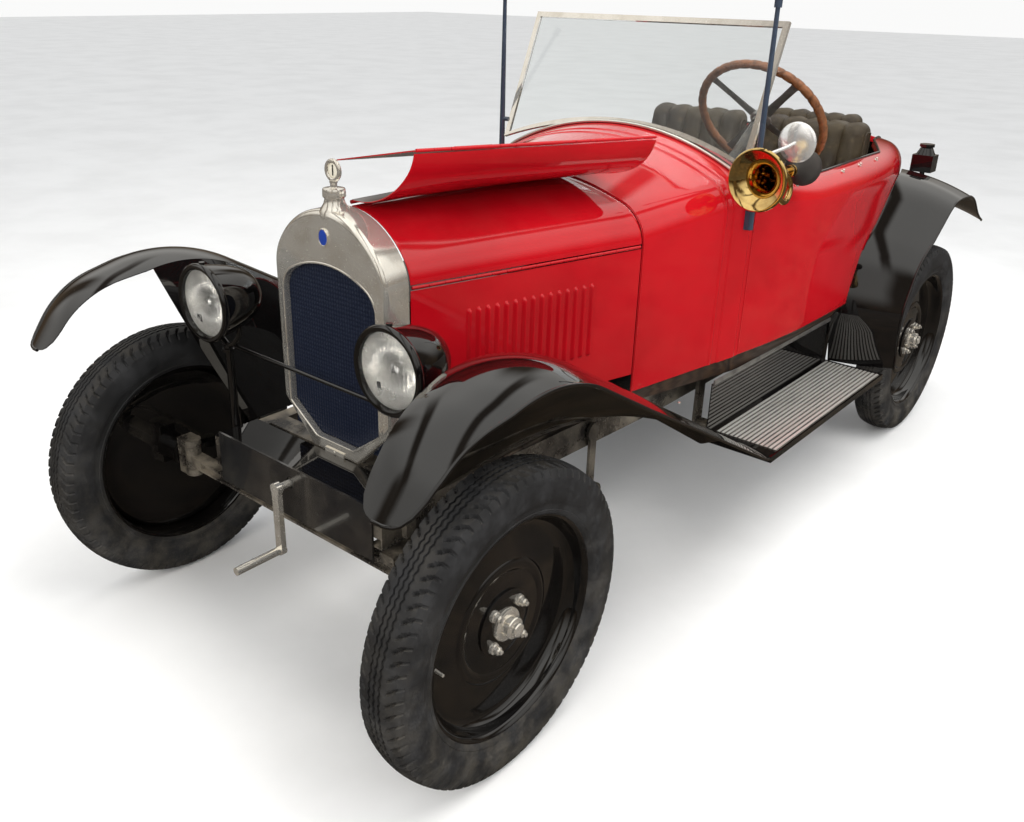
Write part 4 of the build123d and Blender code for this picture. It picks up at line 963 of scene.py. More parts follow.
def build_palette() -> Palette:
    """Builds the finishes.

    Returns:
        The car's finishes.
    """
    return Palette(
        red=Enamel("coach_red", (0.4, 0.004, 0.009), (0.33, 0.003, 0.007), dust=0.02, clean=0.03,
                   dull=0.11).build(),
        seam=Enamel("seam_red", (0.45, 0.008, 0.012), (0.36, 0.006, 0.01), dust=0.1, chips=0.75).build(),
        raw_inside=Enamel("bonnet_inside", (0.16, 0.15, 0.145), (0.1, 0.092, 0.09), dust=0.3, clean=0.3,
                          dull=0.5, chips=0.4).build(),
        black=Enamel("wing_black", (0.0022, 0.002, 0.002), (0.004, 0.0035, 0.0035), dust=0.006, clean=0.02,
                     dull=0.07, ripple=0.00003).build(),
        satin=Enamel("satin_black", (0.006, 0.006, 0.007), (0.01, 0.01, 0.01), dust=0.08, clean=0.14,
                     dull=0.3).build(),
        chassis=Enamel("chassis_black", (0.012, 0.011, 0.011), (0.028, 0.024, 0.02), dust=0.55, clean=0.2,
                       dull=0.5, ripple=0.0002).build(),
        nickel=Plating("nickel_plate", (0.88, 0.84, 0.76), (0.74, 0.69, 0.6), clean=0.08, dull=0.22,
                       pits=0.1, metallic=0.84).build(),
        brass=Plating("horn_brass", (0.83, 0.6, 0.24), (0.62, 0.38, 0.13), clean=0.07, dull=0.24).build(),
        reflector=Plating("silvered", (0.95, 0.94, 0.92), (0.86, 0.85, 0.82), clean=0.2, dull=0.34,
                          pits=0.0, metallic=0.75).build(),
        tyre=Rubber("tyre_rubber", (0.012, 0.012, 0.0125), (0.026, 0.026, 0.027), dust=0.12).build(),
        bulb=Rubber("bulb_rubber", (0.02, 0.017, 0.015), (0.035, 0.03, 0.026), grain=180.0,
                    dust=0.1).build(),
        hide=Hide("seat_leather", (0.042, 0.03, 0.014), (0.12, 0.085, 0.045),
                  (0.018, 0.012, 0.007)).build(),
        lining=Hide("door_lining", (0.03, 0.026, 0.018), (0.07, 0.06, 0.04), (0.016, 0.014, 0.01)).build(),
        steel=BareSteel("bare_steel", (0.45, 0.44, 0.42), rust=0.35, metallic=0.9).build(),
        iron=BareSteel("engine_iron", (0.12, 0.12, 0.115), rust=0.45, metallic=0.35, rough=0.6).build(),
        post=Enamel("post_grey", (0.035, 0.05, 0.075), (0.025, 0.035, 0.055), dust=0.15, clean=0.2,
                    dull=0.38).build(),
        tread=ScuffedPlate("board_aluminium").build(),
        pane=Pane("screen_glass", (0.96, 0.98, 0.97)).build(),
        lens=Pane("lens_glass", (0.98, 0.98, 0.97)).build(),
        boards=Boards("floor_boards").build(),
        core=CoreMetal("core_lacquer").build(),
        grip=Moulded("brown_grip", (0.2, 0.075, 0.028)).build(),
        badge=Enamel("badge_blue", (0.012, 0.05, 0.33), (0.01, 0.035, 0.22), dust=0.0, clean=0.04,
                     dull=0.1).build(),
        dial=Enamel("dial_cream", (0.7, 0.66, 0.55), (0.58, 0.53, 0.42), dust=0.1, clean=0.15,
                    dull=0.3).build(),
    )


# Running gear

AXLE_HEIGHT = 357.5
HALF_TRACK = 595.0
WHEELBASE = 2400.0
WHEEL_PLACES = (
    (Body.FRONT_LEFT, Side.LEFT, 0.0), (Body.FRONT_RIGHT, Side.RIGHT, 0.0),
    (Body.REAR_LEFT, Side.LEFT, WHEELBASE), (Body.REAR_RIGHT, Side.RIGHT, WHEELBASE),
)


def wheel_frame(side: Side, station: float) -> Matrix:
    """Frame at a wheel's centre, its z axis pointing outward."""
    return facing(at(side.value * HALF_TRACK, station, AXLE_HEIGHT), Vector((side.value, 0, 0)))


@dataclass
class Tyres:
    """Four beaded-edge tyres with zigzag centre grooves and slotted shoulders."""

    colors: Palette
    radius: float = 357.5
    pitches: int = 80
    columns_per_pitch: int = 10
    groove_centres: tuple[float, ...] = (-13.0, 0.0, 13.0)
    groove_half: float = 1.9
    groove_depth: float = 4.2
    zigzag: float = 2.0
    slot_depth: float = 7.0
    slot_share: float = 0.2
    slant: float = 0.028
    shoulder_rows: tuple[float, ...] = (24.0, 26.5, 29.0, 33.0, 38.0, 43.0, 46.0)
    flank: tuple[Flat, ...] = (
        (50.5, 343.0), (53.2, 335.0), (54.0, 334.0), (55.6, 325.0), (57.0, 315.0), (57.5, 304.0),
        (57.3, 292.0), (55.8, 281.0), (55.0, 280.0), (52.6, 271.0), (50.4, 264.0), (51.4, 262.5),
        (49.6, 257.0), (46.0, 252.0), (42.0, 249.0), (38.0, 246.5), (34.0, 245.6))

    def tread_rows(self) -> list[float]:
        """Places of the rows across the tread.

        Returns:
            Offsets from the middle.
        """
        rows = {-6.5, 6.5, *self.shoulder_rows, *(-x for x in self.shoulder_rows)}
        for centre in self.groove_centres:
            for step in (-1.6, -1.0, 0.0, 1.0, 1.6):
                rows.add(centre + step * self.groove_half)
        return sorted(rows)

    def height(self, x: float, turn: float) -> float:
        """Radius of the tread at a row and an angle in pitches.

        Args:
            x: Offset from the middle.
            turn: Angle in pitches.

        Returns:
            Radius in millimetres.
        """
        base = self.radius - 6.0 * (x / 40.0) ** 2
        for centre in self.groove_centres:
            if abs(x - centre) <= self.groove_half * 1.1:
                return base - self.groove_depth
        return base - self.slot_depth * self.slot(x, turn)

    def slot(self, x: float, turn: float) -> float:
        """How much of a shoulder slot is open at a place on the tread, from 0 to 1.

        Args:
            x: Offset from the middle.
            turn: Angle in pitches.

        Returns:
            The open share.
        """
        phase = (turn + self.slant * abs(x) + (0.5 if x < 0 else 0.0)) % 1.0
        close = smooth_step(phase, self.slot_share, self.slot_share + 0.1)
        return smooth_step(phase, 0.0, 0.1) * (1 - close) * smooth_step(abs(x), 24.0, 28.5)

    def cut(self, x: float, r: float, turn: float) -> Flat:
        """Point of the flank, set back where a shoulder slot runs out through it."""
        share = self.slot(math.copysign(46.0, x), turn) * smooth_step(r, 330.0, 341.0)
        return x - math.copysign(2.4 * share, x), r - 4.0 * share

    def form(self) -> Form:
        """One tyre about the z axis of its own place.

        Returns:
            The tyre's form.
        """
        rows = self.tread_rows()
        columns = self.pitches * self.columns_per_pitch
        outline = []
        for index in range(columns):
            turn = index / self.columns_per_pitch
            angle = 2 * math.pi * index / columns
            wave = abs((turn * 1.5) % 1.0 * 2 - 1) * 2 - 1
            ring = [self.cut(-x, r, turn) for x, r in reversed(self.flank)]
            for x in rows:
                shift = self.zigzag * wave * (1 - smooth_step(abs(x), 18.0, 26.0))
                ring.append((x + shift, self.height(x, turn)))
            ring += [self.cut(x, r, turn) for x, r in self.flank]
            outline.append([polar(r, angle, x) for x, r in ring])
        form = Form()
        form.grid(outline, around=True, along=True)
        return form

    def build(self) -> None:
        """Fits a tyre to each wheel."""
        shared = self.form()
        for body, side, station in WHEEL_PLACES:
            form = Form()
            form.points, form.faces, form.kinds = shared.points, shared.faces, shared.kinds
            form.move(wheel_frame(side, station))
            name = body.value.replace("_wheel", "")
            make_piece(f"treaded_tyre_{name}", form,
                       Look(body, "tyre", (self.colors.tyre,), (f"tyre_{name}",), crease=32.0))


@dataclass
class DiscWheels:
    """Pressed disc wheels with studs, nuts, a plated cap and a valve."""

    colors: Palette
    stud_circle: float = 56.0
    valve_circle: float = 206.0
    disc: tuple[Flat, ...] = (
        (30, 9), (80, 8.5), (100, 6.5), (116, 6), (120, 8.2), (126, 9.8), (132, 9.8), (138, 8.2),
        (142, 5.4), (170, 3), (200, 1.2), (214, 0.8), (224, 3), (231, 9), (236, 19), (238.5, 31),
        (240.5, 38), (244, 43), (248, 45.6), (251, 45), (252, 42.5), (250, 41), (246, 40.5),
        (245, 36), (245, -36), (246, -40.5), (250, -41), (252, -43), (250.5, -45.5), (247, -46),
        (243, -42), (241, -36), (240.5, 14), (233, 5), (226, -1.5), (214, -3.2), (170, -1),
        (100, 2.5), (30, 5))
    flange: tuple[Flat, ...] = ((26, 8), (74, 8), (76, 10), (76, 13), (73, 14.5), (44, 16), (26, 16))
    boss: tuple[Flat, ...] = ((10, 14), (38, 14), (38.5, 18), (37, 22), (33, 24), (10, 25))
    cap: tuple[Flat, ...] = (
        (0.5, 54.5), (10, 54), (14.5, 52.5), (16, 50), (16, 44), (19, 43), (23, 41.5), (24.5, 39),
        (24.5, 24), (0.5, 24))
    nut: tuple[Flat, ...] = (
        (0.4, 35), (7, 35), (9, 33), (9.5, 24), (12.5, 22), (13.5, 17), (13.5, 8), (0.4, 8))
    stud: tuple[Flat, ...] = ((0.3, 41), (5, 40), (5.4, 34), (0.3, 34))
    front_hub_back: float = -32.0
    rear_hub_back: float = -60.0
    drum: tuple[Flat, ...] = (
        (36, -40), (132, -40), (138, -42), (140, -46), (140, -60), (142, -62), (142, -66), (140, -68),
        (140, -84), (135, -84), (135, -46), (36, -46))

    def build(self) -> None:
        """Dresses the four wheels."""
        for body, side, station in WHEEL_PLACES:
            place = wheel_frame(side, station)
            rear = station > 0
            form = Form()
            form.lathe(self.disc, place, 112)
            back = self.rear_hub_back if rear else self.front_hub_back
            form.lathe(((15, back), (38, back), (38, 8), (15, 8)), place, 40)
            form.lathe(self.flange, place, 64)
            if rear:
                form.lathe(self.drum, place, 80)
            form.lathe(self.boss, place, 56, kind=1)
            form.lathe(self.cap, place, 48, kind=1)
            for index in range(4):
                spot = place @ Matrix.Translation(polar(self.stud_circle, math.radians(45 + 90 * index)))
                form.lathe(self.nut, spot, 24, kind=1)
                form.lathe(self.stud, spot, 16, kind=1)
            valve = place @ Vector((0.0, self.valve_circle / 1000, 0.002))
            stem = [valve + Vector((side.value * out, 0, 0)) for out in (0.0, 0.016, 0.030)]
            form.tube(stem, (4.5, 4.0, 3.4), 12, kind=1)
            name = body.value.replace("_wheel", "")
            make_piece(f"disc_wheel_{name}", form, Look(
                body, "disc_black", (self.colors.black, self.colors.nickel), (f"wheel_{name}",),
                crease=30.0))


# Coachwork


@dataclass(frozen=True)
class Hoop:
    """Cross-section of the body: upright sides, rounded shoulders and a crowned top, in millimetres."""

    STEPS: ClassVar[int] = 240

    half: float
    shoulder: float
    crown: float
    corner: float
    bottom: float

    def top(self, x: float) -> float:
        """Height of the shoulder and top at a distance from the middle.

        Args:
            x: Distance from the middle.

        Returns:
            Height in millimetres.
        """
        x = abs(x)
        flat = self.half - self.corner
        rise = self.crown - self.shoulder
        big = (flat ** 2 + rise ** 2 - self.corner ** 2) / (2 * (rise - self.corner))
        meet = flat + self.corner * math.cos(math.atan2(big - rise, flat))
        if x >= meet:
            return self.shoulder + math.sqrt(max(self.corner ** 2 - (x - flat) ** 2, 0.0))
        return self.crown - big + math.sqrt(max(big ** 2 - x ** 2, 0.0))

    def curve(self, start: float, end: float, count: int) -> list[Flat]:
        """Even steps along the top from one distance to another.

        Args:
            start: First distance from the middle.
            end: Last distance.
            count: Number of steps.

        Returns:
            Points of (distance, height).
        """
        fine = []
        for k in range(self.STEPS + 1):
            t = k / self.STEPS
            x = start + (end - start) * (1 - math.cos(t * math.pi / 2))
            fine.append((x, self.top(x)))
        lengths = reach(fine)
        out, index = [], 0
        for k in range(count + 1):
            goal = lengths[-1] * k / count
            while index < self.STEPS - 1 and lengths[index + 1] < goal:
                index += 1
            span = max(lengths[index + 1] - lengths[index], 1e-9)
            t = (goal - lengths[index]) / span
            a, b = fine[index], fine[index + 1]
            out.append((a[0] + (b[0] - a[0]) * t, a[1] + (b[1] - a[1]) * t))
        return out

    def grown(self, amount: float) -> "Hoop":
        """The same section with its face moved outward."""
        return Hoop(self.half + amount, self.shoulder, self.crown + amount, self.corner + amount,
                    self.bottom)


@dataclass(frozen=True)
class Lines:
    """Sections of the car from the radiator to the tail, by station."""

    rows: tuple[tuple[float, Hoop], ...] = (
        (154.0, Hoop(190, 955, 1110, 110, 600)), (829.0, Hoop(355, 955, 1110, 110, 600)),
        (834.0, Hoop(355, 955, 1110, 110, 546)), (1262.0, Hoop(452, 1010, 1198, 100, 562)),
        (1450.0, Hoop(478, 985, 1140, 88, 564)), (1650.0, Hoop(494, 968, 1098, 78, 567)),
        (2100.0, Hoop(498, 975, 1090, 75, 573)), (2330.0, Hoop(474, 978, 1090, 75, 578)),
        (2520.0, Hoop(420, 975, 1082, 74, 594)), (2680.0, Hoop(345, 965, 1068, 70, 620)),
        (2780.0, Hoop(262, 945, 1044, 64, 652)), (2835.0, Hoop(186, 925, 1016, 58, 682)),
        (2860.0, Hoop(120, 905, 986, 50, 712)),
    )

    def at(self, station: float) -> Hoop:
        """Section at a station, eased between the given ones behind the scuttle.

        Args:
            station: Place along the car.

        Returns:
            The section there.
        """
        index = 0
        while index < len(self.rows) - 2 and self.rows[index + 1][0] < station:
            index += 1
        (s0, a), (s1, b) = self.rows[index], self.rows[index + 1]
        t = (station - s0) / (s1 - s0)
        values = []
        for name in ("half", "shoulder", "crown", "corner", "bottom"):
            v0, v1 = getattr(a, name), getattr(b, name)
            if index < 3:
                values.append(v0 + (v1 - v0) * t)
                continue
            before = self.rows[index - 1] if index > 3 else self.rows[index]
            after = self.rows[index + 2] if index + 2 < len(self.rows) else self.rows[index + 1]
            run0 = max(s1 - before[0], 1.0)
            run1 = max(after[0] - s0, 1.0)
            m0 = (v1 - getattr(before[1], name)) / run0 * (s1 - s0)
            m1 = (getattr(after[1], name) - v0) / run1 * (s1 - s0)
            start, lead = 2 * t ** 3 - 3 * t ** 2 + 1, t ** 3 - 2 * t ** 2 + t
            end, trail = 3 * t ** 2 - 2 * t ** 3, t ** 3 - t ** 2
            values.append(start * v0 + lead * m0 + end * v1 + trail * m1)
        return Hoop(*values)


LINES = Lines()


def spread(low: float, high: float, step: float) -> list[float]:
    """Even stations between two ends, about a step apart."""
    count = max(1, round((high - low) / step))
    return [low + (high - low) * k / count for k in range(count + 1)]


@dataclass
class Scuttle:
    """Cowl between bonnet and cockpit, with seam beads and a raised moulding before the screen."""

    colors: Palette
    stations: Flat = (834.0, 1262.0)
    sheet: float = 3.0
    bead: float = 3.2

    def lift(self, station: float) -> float:
        """Height of the raised bead and the moulding band at a station."""
        band = 3.0 * smooth_step(station, 1166.0, 1172.0) * (1 - smooth_step(station, 1240.0, 1248.0))
        return band + self.bead * math.exp(-((station - 1140.0) / 4.5) ** 2)

    def rows(self) -> list[float]:
        """Stations of the net, close together at the beads.

        Returns:
            Stations in order.
        """
        fine = {round(s, 2) for s in spread(*self.stations, 12.0)}
        for centre in (1140.0, 1169.0, 1244.0):
            fine |= {centre + d for d in (-8, -6, -4, -2, 0, 2, 4, 6, 8)}
        return sorted(s for s in fine if self.stations[0] <= s <= self.stations[1])

    def build(self) -> None:
        """Makes the cowl."""
        rows = []
        for s in self.rows():
            lift = self.lift(s)
            hoop = LINES.at(s)
            foot = hoop.bottom
            side = [(hoop.half + lift, foot + (hoop.shoulder - foot) * k / 16) for k in range(16)]
            over = hoop.grown(lift).curve(hoop.half + lift, 0.0, 34)
            rows.append(lay(whole(side + over), s))
        form = Form()
        form.grid(rows, flip=True)
        wall = LINES.at(834.0)
        ring = [(wall.half - 3, 530.0)] + wall.grown(-3).curve(wall.half - 3, 0.0, 30)
        form.cap(lay(whole(ring), 837.0), kind=1)
        make_piece("cowl_skin", form, Look(
            Body.CHASSIS, "red_paint", (self.colors.red, self.colors.satin), ("scuttle",),
            wall=self.sheet, crease=50.0))


@dataclass
class Tub:
    """Body sides and rounded tail with a rolled cockpit rim, and the door cut out of them."""

    colors: Palette
    opening: tuple[Flat, ...] = ((1262.0, 430.0), (2230.0, 430.0), (2440.0, 330.0), (2700.0, 262.0))
    door: tuple[float, float, float] = (1296.0, 1740.0, 590.0)
    gap: float = 5.0
    wall: float = 22.0
    door_wall: float = 20.0
    rim: int = 24
    tail: float = 2700.0
    hinge: Flat = (-471.0, 1293.5)
    hinge_feet: Flat = (650.0, 880.0)

    def width(self, station: float) -> float:
        """Half the width of the opening at a station.

        Args:
            station: Place along the car.

        Returns:
            Half width in millimetres.
        """
        points = self.opening
        for (s0, w0), (s1, w1) in zip(points, points[1:]):
            if station <= s1:
                return w0 + (w1 - w0) * (station - s0) / (s1 - s0)
        return min(points[-1][1], LINES.at(station).half * 0.72)

    def section(self, station: float) -> list[Vector]:
        """Points of the whole skin at a station, from the left foot over the top to the right foot.

        Args:
            station: Place along the car.

        Returns:
            Points round the skin.
        """
        hoop = LINES.at(station)
        low = self.door[2] if station < self.door[1] + 10 else hoop.bottom + 24
        heights = [hoop.bottom, low] + [low + (hoop.shoulder - low) * k / 9 for k in range(1, 9)]
        half = [(hoop.half, z) for z in heights]
        half += hoop.curve(hoop.half, self.width(station), 14)
        edge = half[-1][0]
        for k in range(1, 7):
            x = edge * (1 - k / 6)
            half.append((x, hoop.top(x)))
        return lay(whole(half), station)

    def stations(self) -> list[float]:
        """Stations of the net, closer at the seam, the door and the tail.

        Returns:
            Stations in order.
        """
        fixed = {1262.0, 1264.0, 1266.0, 1268.0, 1270.0, 1274.0, 2230.0, 2440.0, 2700.0, 2860.0,
                 self.door[0] - self.gap + 0.5, self.door[0], self.door[1] + self.gap}
        for low, high in ((1274, 1296), (1296, 1745), (1745, 2230), (2230, 2440), (2440, 2700)):
            fixed |= set(spread(low, high, 16.0))
        fixed |= set(spread(2700.0, 2860.0, 9.0))
        return sorted(fixed)

    def build(self) -> None:
        """Makes the sides and tail."""
        stations = self.stations()
        rows = [self.section(s) for s in stations]
        right_rim = len(rows[0]) - self.rim - 1
        near = self.door[0] - self.gap + 0.5
        far = self.door[1] + self.gap

        def keep(r: int, c: int) -> bool:
            """Leaves out the cockpit and the doorway.

            Args:
                r: Row of the net.
                c: Column of the net.

            Returns:
                Whether the face stays.
            """
            middle = (stations[r] + stations[r + 1]) / 2
            if self.rim <= c <= right_rim and middle < self.tail:
                return c == right_rim
            return not (right_rim <= c < len(rows[0]) - 2 and near < middle < far)

        form = Form()
        form.grid(rows, flip=True, keep=keep)
        form.cap(rows[-1], flip=True)
        make_piece("body_skin", form, Look(
            Body.CHASSIS, "red_paint", (self.colors.red, self.colors.lining), ("body_tub",),
            wall=self.wall, inner=1, bevel=4.0, crease=45.0))
        self.build_door()
        self.build_rim()
        self.build_seams()
        self.build_door_fittings()

    def build_door(self) -> None:
        """Makes the door from the same sections as the side that it is cut from."""
        rows = [self.section(s)[-self.rim - 1:-1] for s in spread(self.door[0] + 0.5, self.door[1], 16.0)]
        form = Form()
        form.grid(rows, flip=True)
        make_piece("door_skin", form, Look(
            Body.DOOR, "red_paint", (self.colors.red, self.colors.lining), ("door_right",),
            wall=self.door_wall, inner=1, bevel=3.0, crease=45.0))

    def build_rim(self) -> None:
        """Runs a padded bead along both sides of the cockpit."""
        form = Form()
        left = []
        for s in spread(1275.0, 2696.0, 18.0):
            x = self.width(s)
            left.append(at(x + 2, s, LINES.at(s).top(x + 2) + 1.0))
        form.tube(left, 4.5, 8)
        form.mirror()
        make_piece("rim_bead", form, Look(Body.CHASSIS, "post_steel", (self.colors.satin,)))

    def build_seams(self) -> None:
        """Lays beads on the seams before and behind the cowl."""
        form = Form()
        for s, end in ((838.0, 0.0), (1262.5, self.width(1262.5) + 4)):
            hoop = LINES.at(s)
            foot = hoop.bottom + 4
            side = [(hoop.half + 0.6, foot + (hoop.shoulder - hoop.bottom - 4) * k / 12) for k in range(12)]
            side += hoop.grown(0.6).curve(hoop.half + 0.6, end, 30)
            form.tube(lay(side, s), 2.0, 8)
        form.mirror()
        make_piece("seam_beads", form, Look(Body.CHASSIS, "red_paint", (self.colors.seam,)))

    def hinge_bar(self, form: Form, low: float, high: float, radius: float, sides: int = 20) -> None:
        """Adds an upright bar on the door's hinge line."""
        x, s = self.hinge
        form.tube([at(x, s, low), at(x, s, high)], radius, sides)

    def build_door_fittings(self) -> None:
        """Makes the door's handle and the pins and eyes of its hinges."""
        form = Form()
        x, s, z = -480.0, self.door[1] - 60, 930.0
        form.tube([at(x, s, z), at(x - 36, s, z)], 6, 16)
        form.lathe(((0.3, 0), (15, 0), (15, 3), (11, 6), (7, 7), (0.3, 7)),
                   facing(at(x - 1, s, z), Vector((-1, 0, 0))), 28)
        form.tube([at(x - 32, s + 8, z), at(x - 33, s, z), at(x - 33, s - 26, z), at(x - 33, s - 50, z)],
                  (4, 7, 5.5, 4.5), 14)
        for low in self.hinge_feet:
            self.hinge_bar(form, low - 1, low + 60, 4.2, 14)
            self.hinge_bar(form, low + 19.5, low + 40.5, 8)
        make_piece("door_fittings", form, Look(Body.DOOR, "nickel", (self.colors.nickel,)))
        form = Form()
        for low in self.hinge_feet:
            self.hinge_bar(form, low, low + 18, 8)
            self.hinge_bar(form, low + 42, low + 60, 8)
        make_piece("door_hinge_eyes", form, Look(Body.CHASSIS, "red_paint", (self.colors.red,)))


@dataclass
class Bonnet:
    """Hinged bonnet: fixed left top, folded-over right top, and louvred left flap."""

    colors: Palette
    ends: Flat = (154.0, 829.0)
    hinge: float = 1116.0
    open_angle: float = 187.0
    louvres: int = 15
    first: float = 300.0
    pitch: float = 26.0
    low: float = 690.0
    high: float = 880.0
    depth: float = 7.0

    def top_rows(self) -> list[list[Vector]]:
        """Net of one top half, closed, from its side hinge to the middle.

        Returns:
            Rows of points.
        """
        rows = []
        for s in spread(*self.ends, 9.0):
            hoop = LINES.at(s)
            lift = 2.0 * math.exp(-((s - 822.0) / 4.0) ** 2)
            grown = hoop.grown(lift)
            rows.append(lay(grown.curve(hoop.half + lift - 0.2, 6.5, 30), s))
        return rows

    def opened(self) -> Matrix:
        """Turn of the right top about the middle hinge, from closed to folded over."""
        pivot = Matrix.Translation(at(0, MID_STATION, self.hinge))
        return pivot @ Matrix.Rotation(math.radians(self.open_angle), 4, "Y") @ pivot.inverted()

    def panel(self, name: str, form: Form, body: Body, node: str, wall: float, bevel: float,
              crease: float) -> None:
        """Finishes one sheet, red outside and dull inside."""
        make_piece(name, form, Look(body, "red_paint", (self.colors.red, self.colors.raw_inside), (node,),
                                    wall=wall, inner=1, bevel=bevel, crease=crease))

    def build(self) -> None:
        """Makes the three panels."""
        form = Form()
        form.grid(self.top_rows(), flip=True)
        self.panel("bonnet_left_top", form, Body.CHASSIS, "bonnet_top_left", 2.6, 0.8, 45.0)
        lid = Form()
        lid.grid(self.top_rows(), flip=True)
        lid.points = [Vector((-p.x, p.y, p.z)) for p in lid.points]
        lid.faces = [tuple(reversed(face)) for face in lid.faces]
        lid.move(self.opened())
        self.panel("bonnet_right_top", lid, Body.LID_RIGHT, "bonnet_top_right", 2.6, 0.8, 45.0)
        self.build_flap()
        self.build_hinges()

    def build_hinges(self) -> None:
        """Makes the long rolled hinges of the bonnet, knuckle by knuckle."""
        groups = {Body.CHASSIS: Form(), Body.LID_RIGHT: Form(), Body.FLAP_LEFT: Form()}
        turn = self.opened()
        stations = spread(158.0, 826.0, 42.0)
        for index, (a, b) in enumerate(zip(stations, stations[1:])):
            middle, side = (Body.LID_RIGHT, Body.FLAP_LEFT) if index % 2 else (Body.CHASSIS, Body.CHASSIS)
            groups[middle].tube([at(0, a + 0.6, self.hinge), at(0, b - 0.6, self.hinge)], 4.6, 12)
            place = [at(LINES.at(s).half - 1.5, s, 955.0) for s in (a + 0.6, b - 0.6)]
            groups[side].tube(place, 4.0, 12)
            groups[Body.LID_RIGHT].tube([turn @ Vector((-p.x, p.y, p.z)) for p in place], 4.0, 12)
        for body, form in groups.items():
            make_piece(f"bonnet_hinge_{body.value}", form, Look(body, "red_paint", (self.colors.red,)))

    def ridge(self, station: float, z: float) -> float:
        """How far a louvre stands out at a place on the flap.

        Args:
            station: Place along the car.
            z: Height on the flap.

        Returns:
            Millimetres above the sheet.
        """
        last = self.first + self.pitch * (self.louvres - 1)
        if not self.first - 3 <= station <= last + 16:
            return 0.0
        phase = (station - self.first + 3) % self.pitch
        rise = smooth_step(phase, 1.0, 9.0) * (1 - smooth_step(phase, 11.0, 13.5))
        ends = math.sqrt(max(1 - max(self.low + 10 - z, z - self.high + 10, 0.0) ** 2 / 110.0, 0.0))
        return self.depth * rise * ends

    def build_flap(self) -> None:
        """Makes the louvred flap."""
        start, end = self.ends
        stations = {start, end, *spread(start, self.first - 4, 14.0), *spread(694.0, end, 14.0)}
        for index in range(self.louvres):
            base = self.first - 3 + index * self.pitch
            stations |= {base + d for d in (0, 1, 3, 4.5, 6, 7.5, 9, 10, 11, 12, 12.8, 13.5, 15, 20)}
        heights = {600.0, 949.0, *spread(600, 674, 18.0), *spread(714, 856, 12.0), *spread(896, 949, 9.0)}
        for k in (0, 2, 4, 6, 8, 11, 14, 18, 24):
            heights |= {self.low - 6 + k, self.high + 6 - k}
        rows = [[at(LINES.at(s).half + self.ridge(s, z), s, z) for z in sorted(heights)]
                for s in sorted(stations)]
        form = Form()
        form.grid(rows, flip=True)
        self.panel("bonnet_left_flap", form, Body.FLAP_LEFT, "bonnet_side_left", 2.2, 0.0, 50.0)


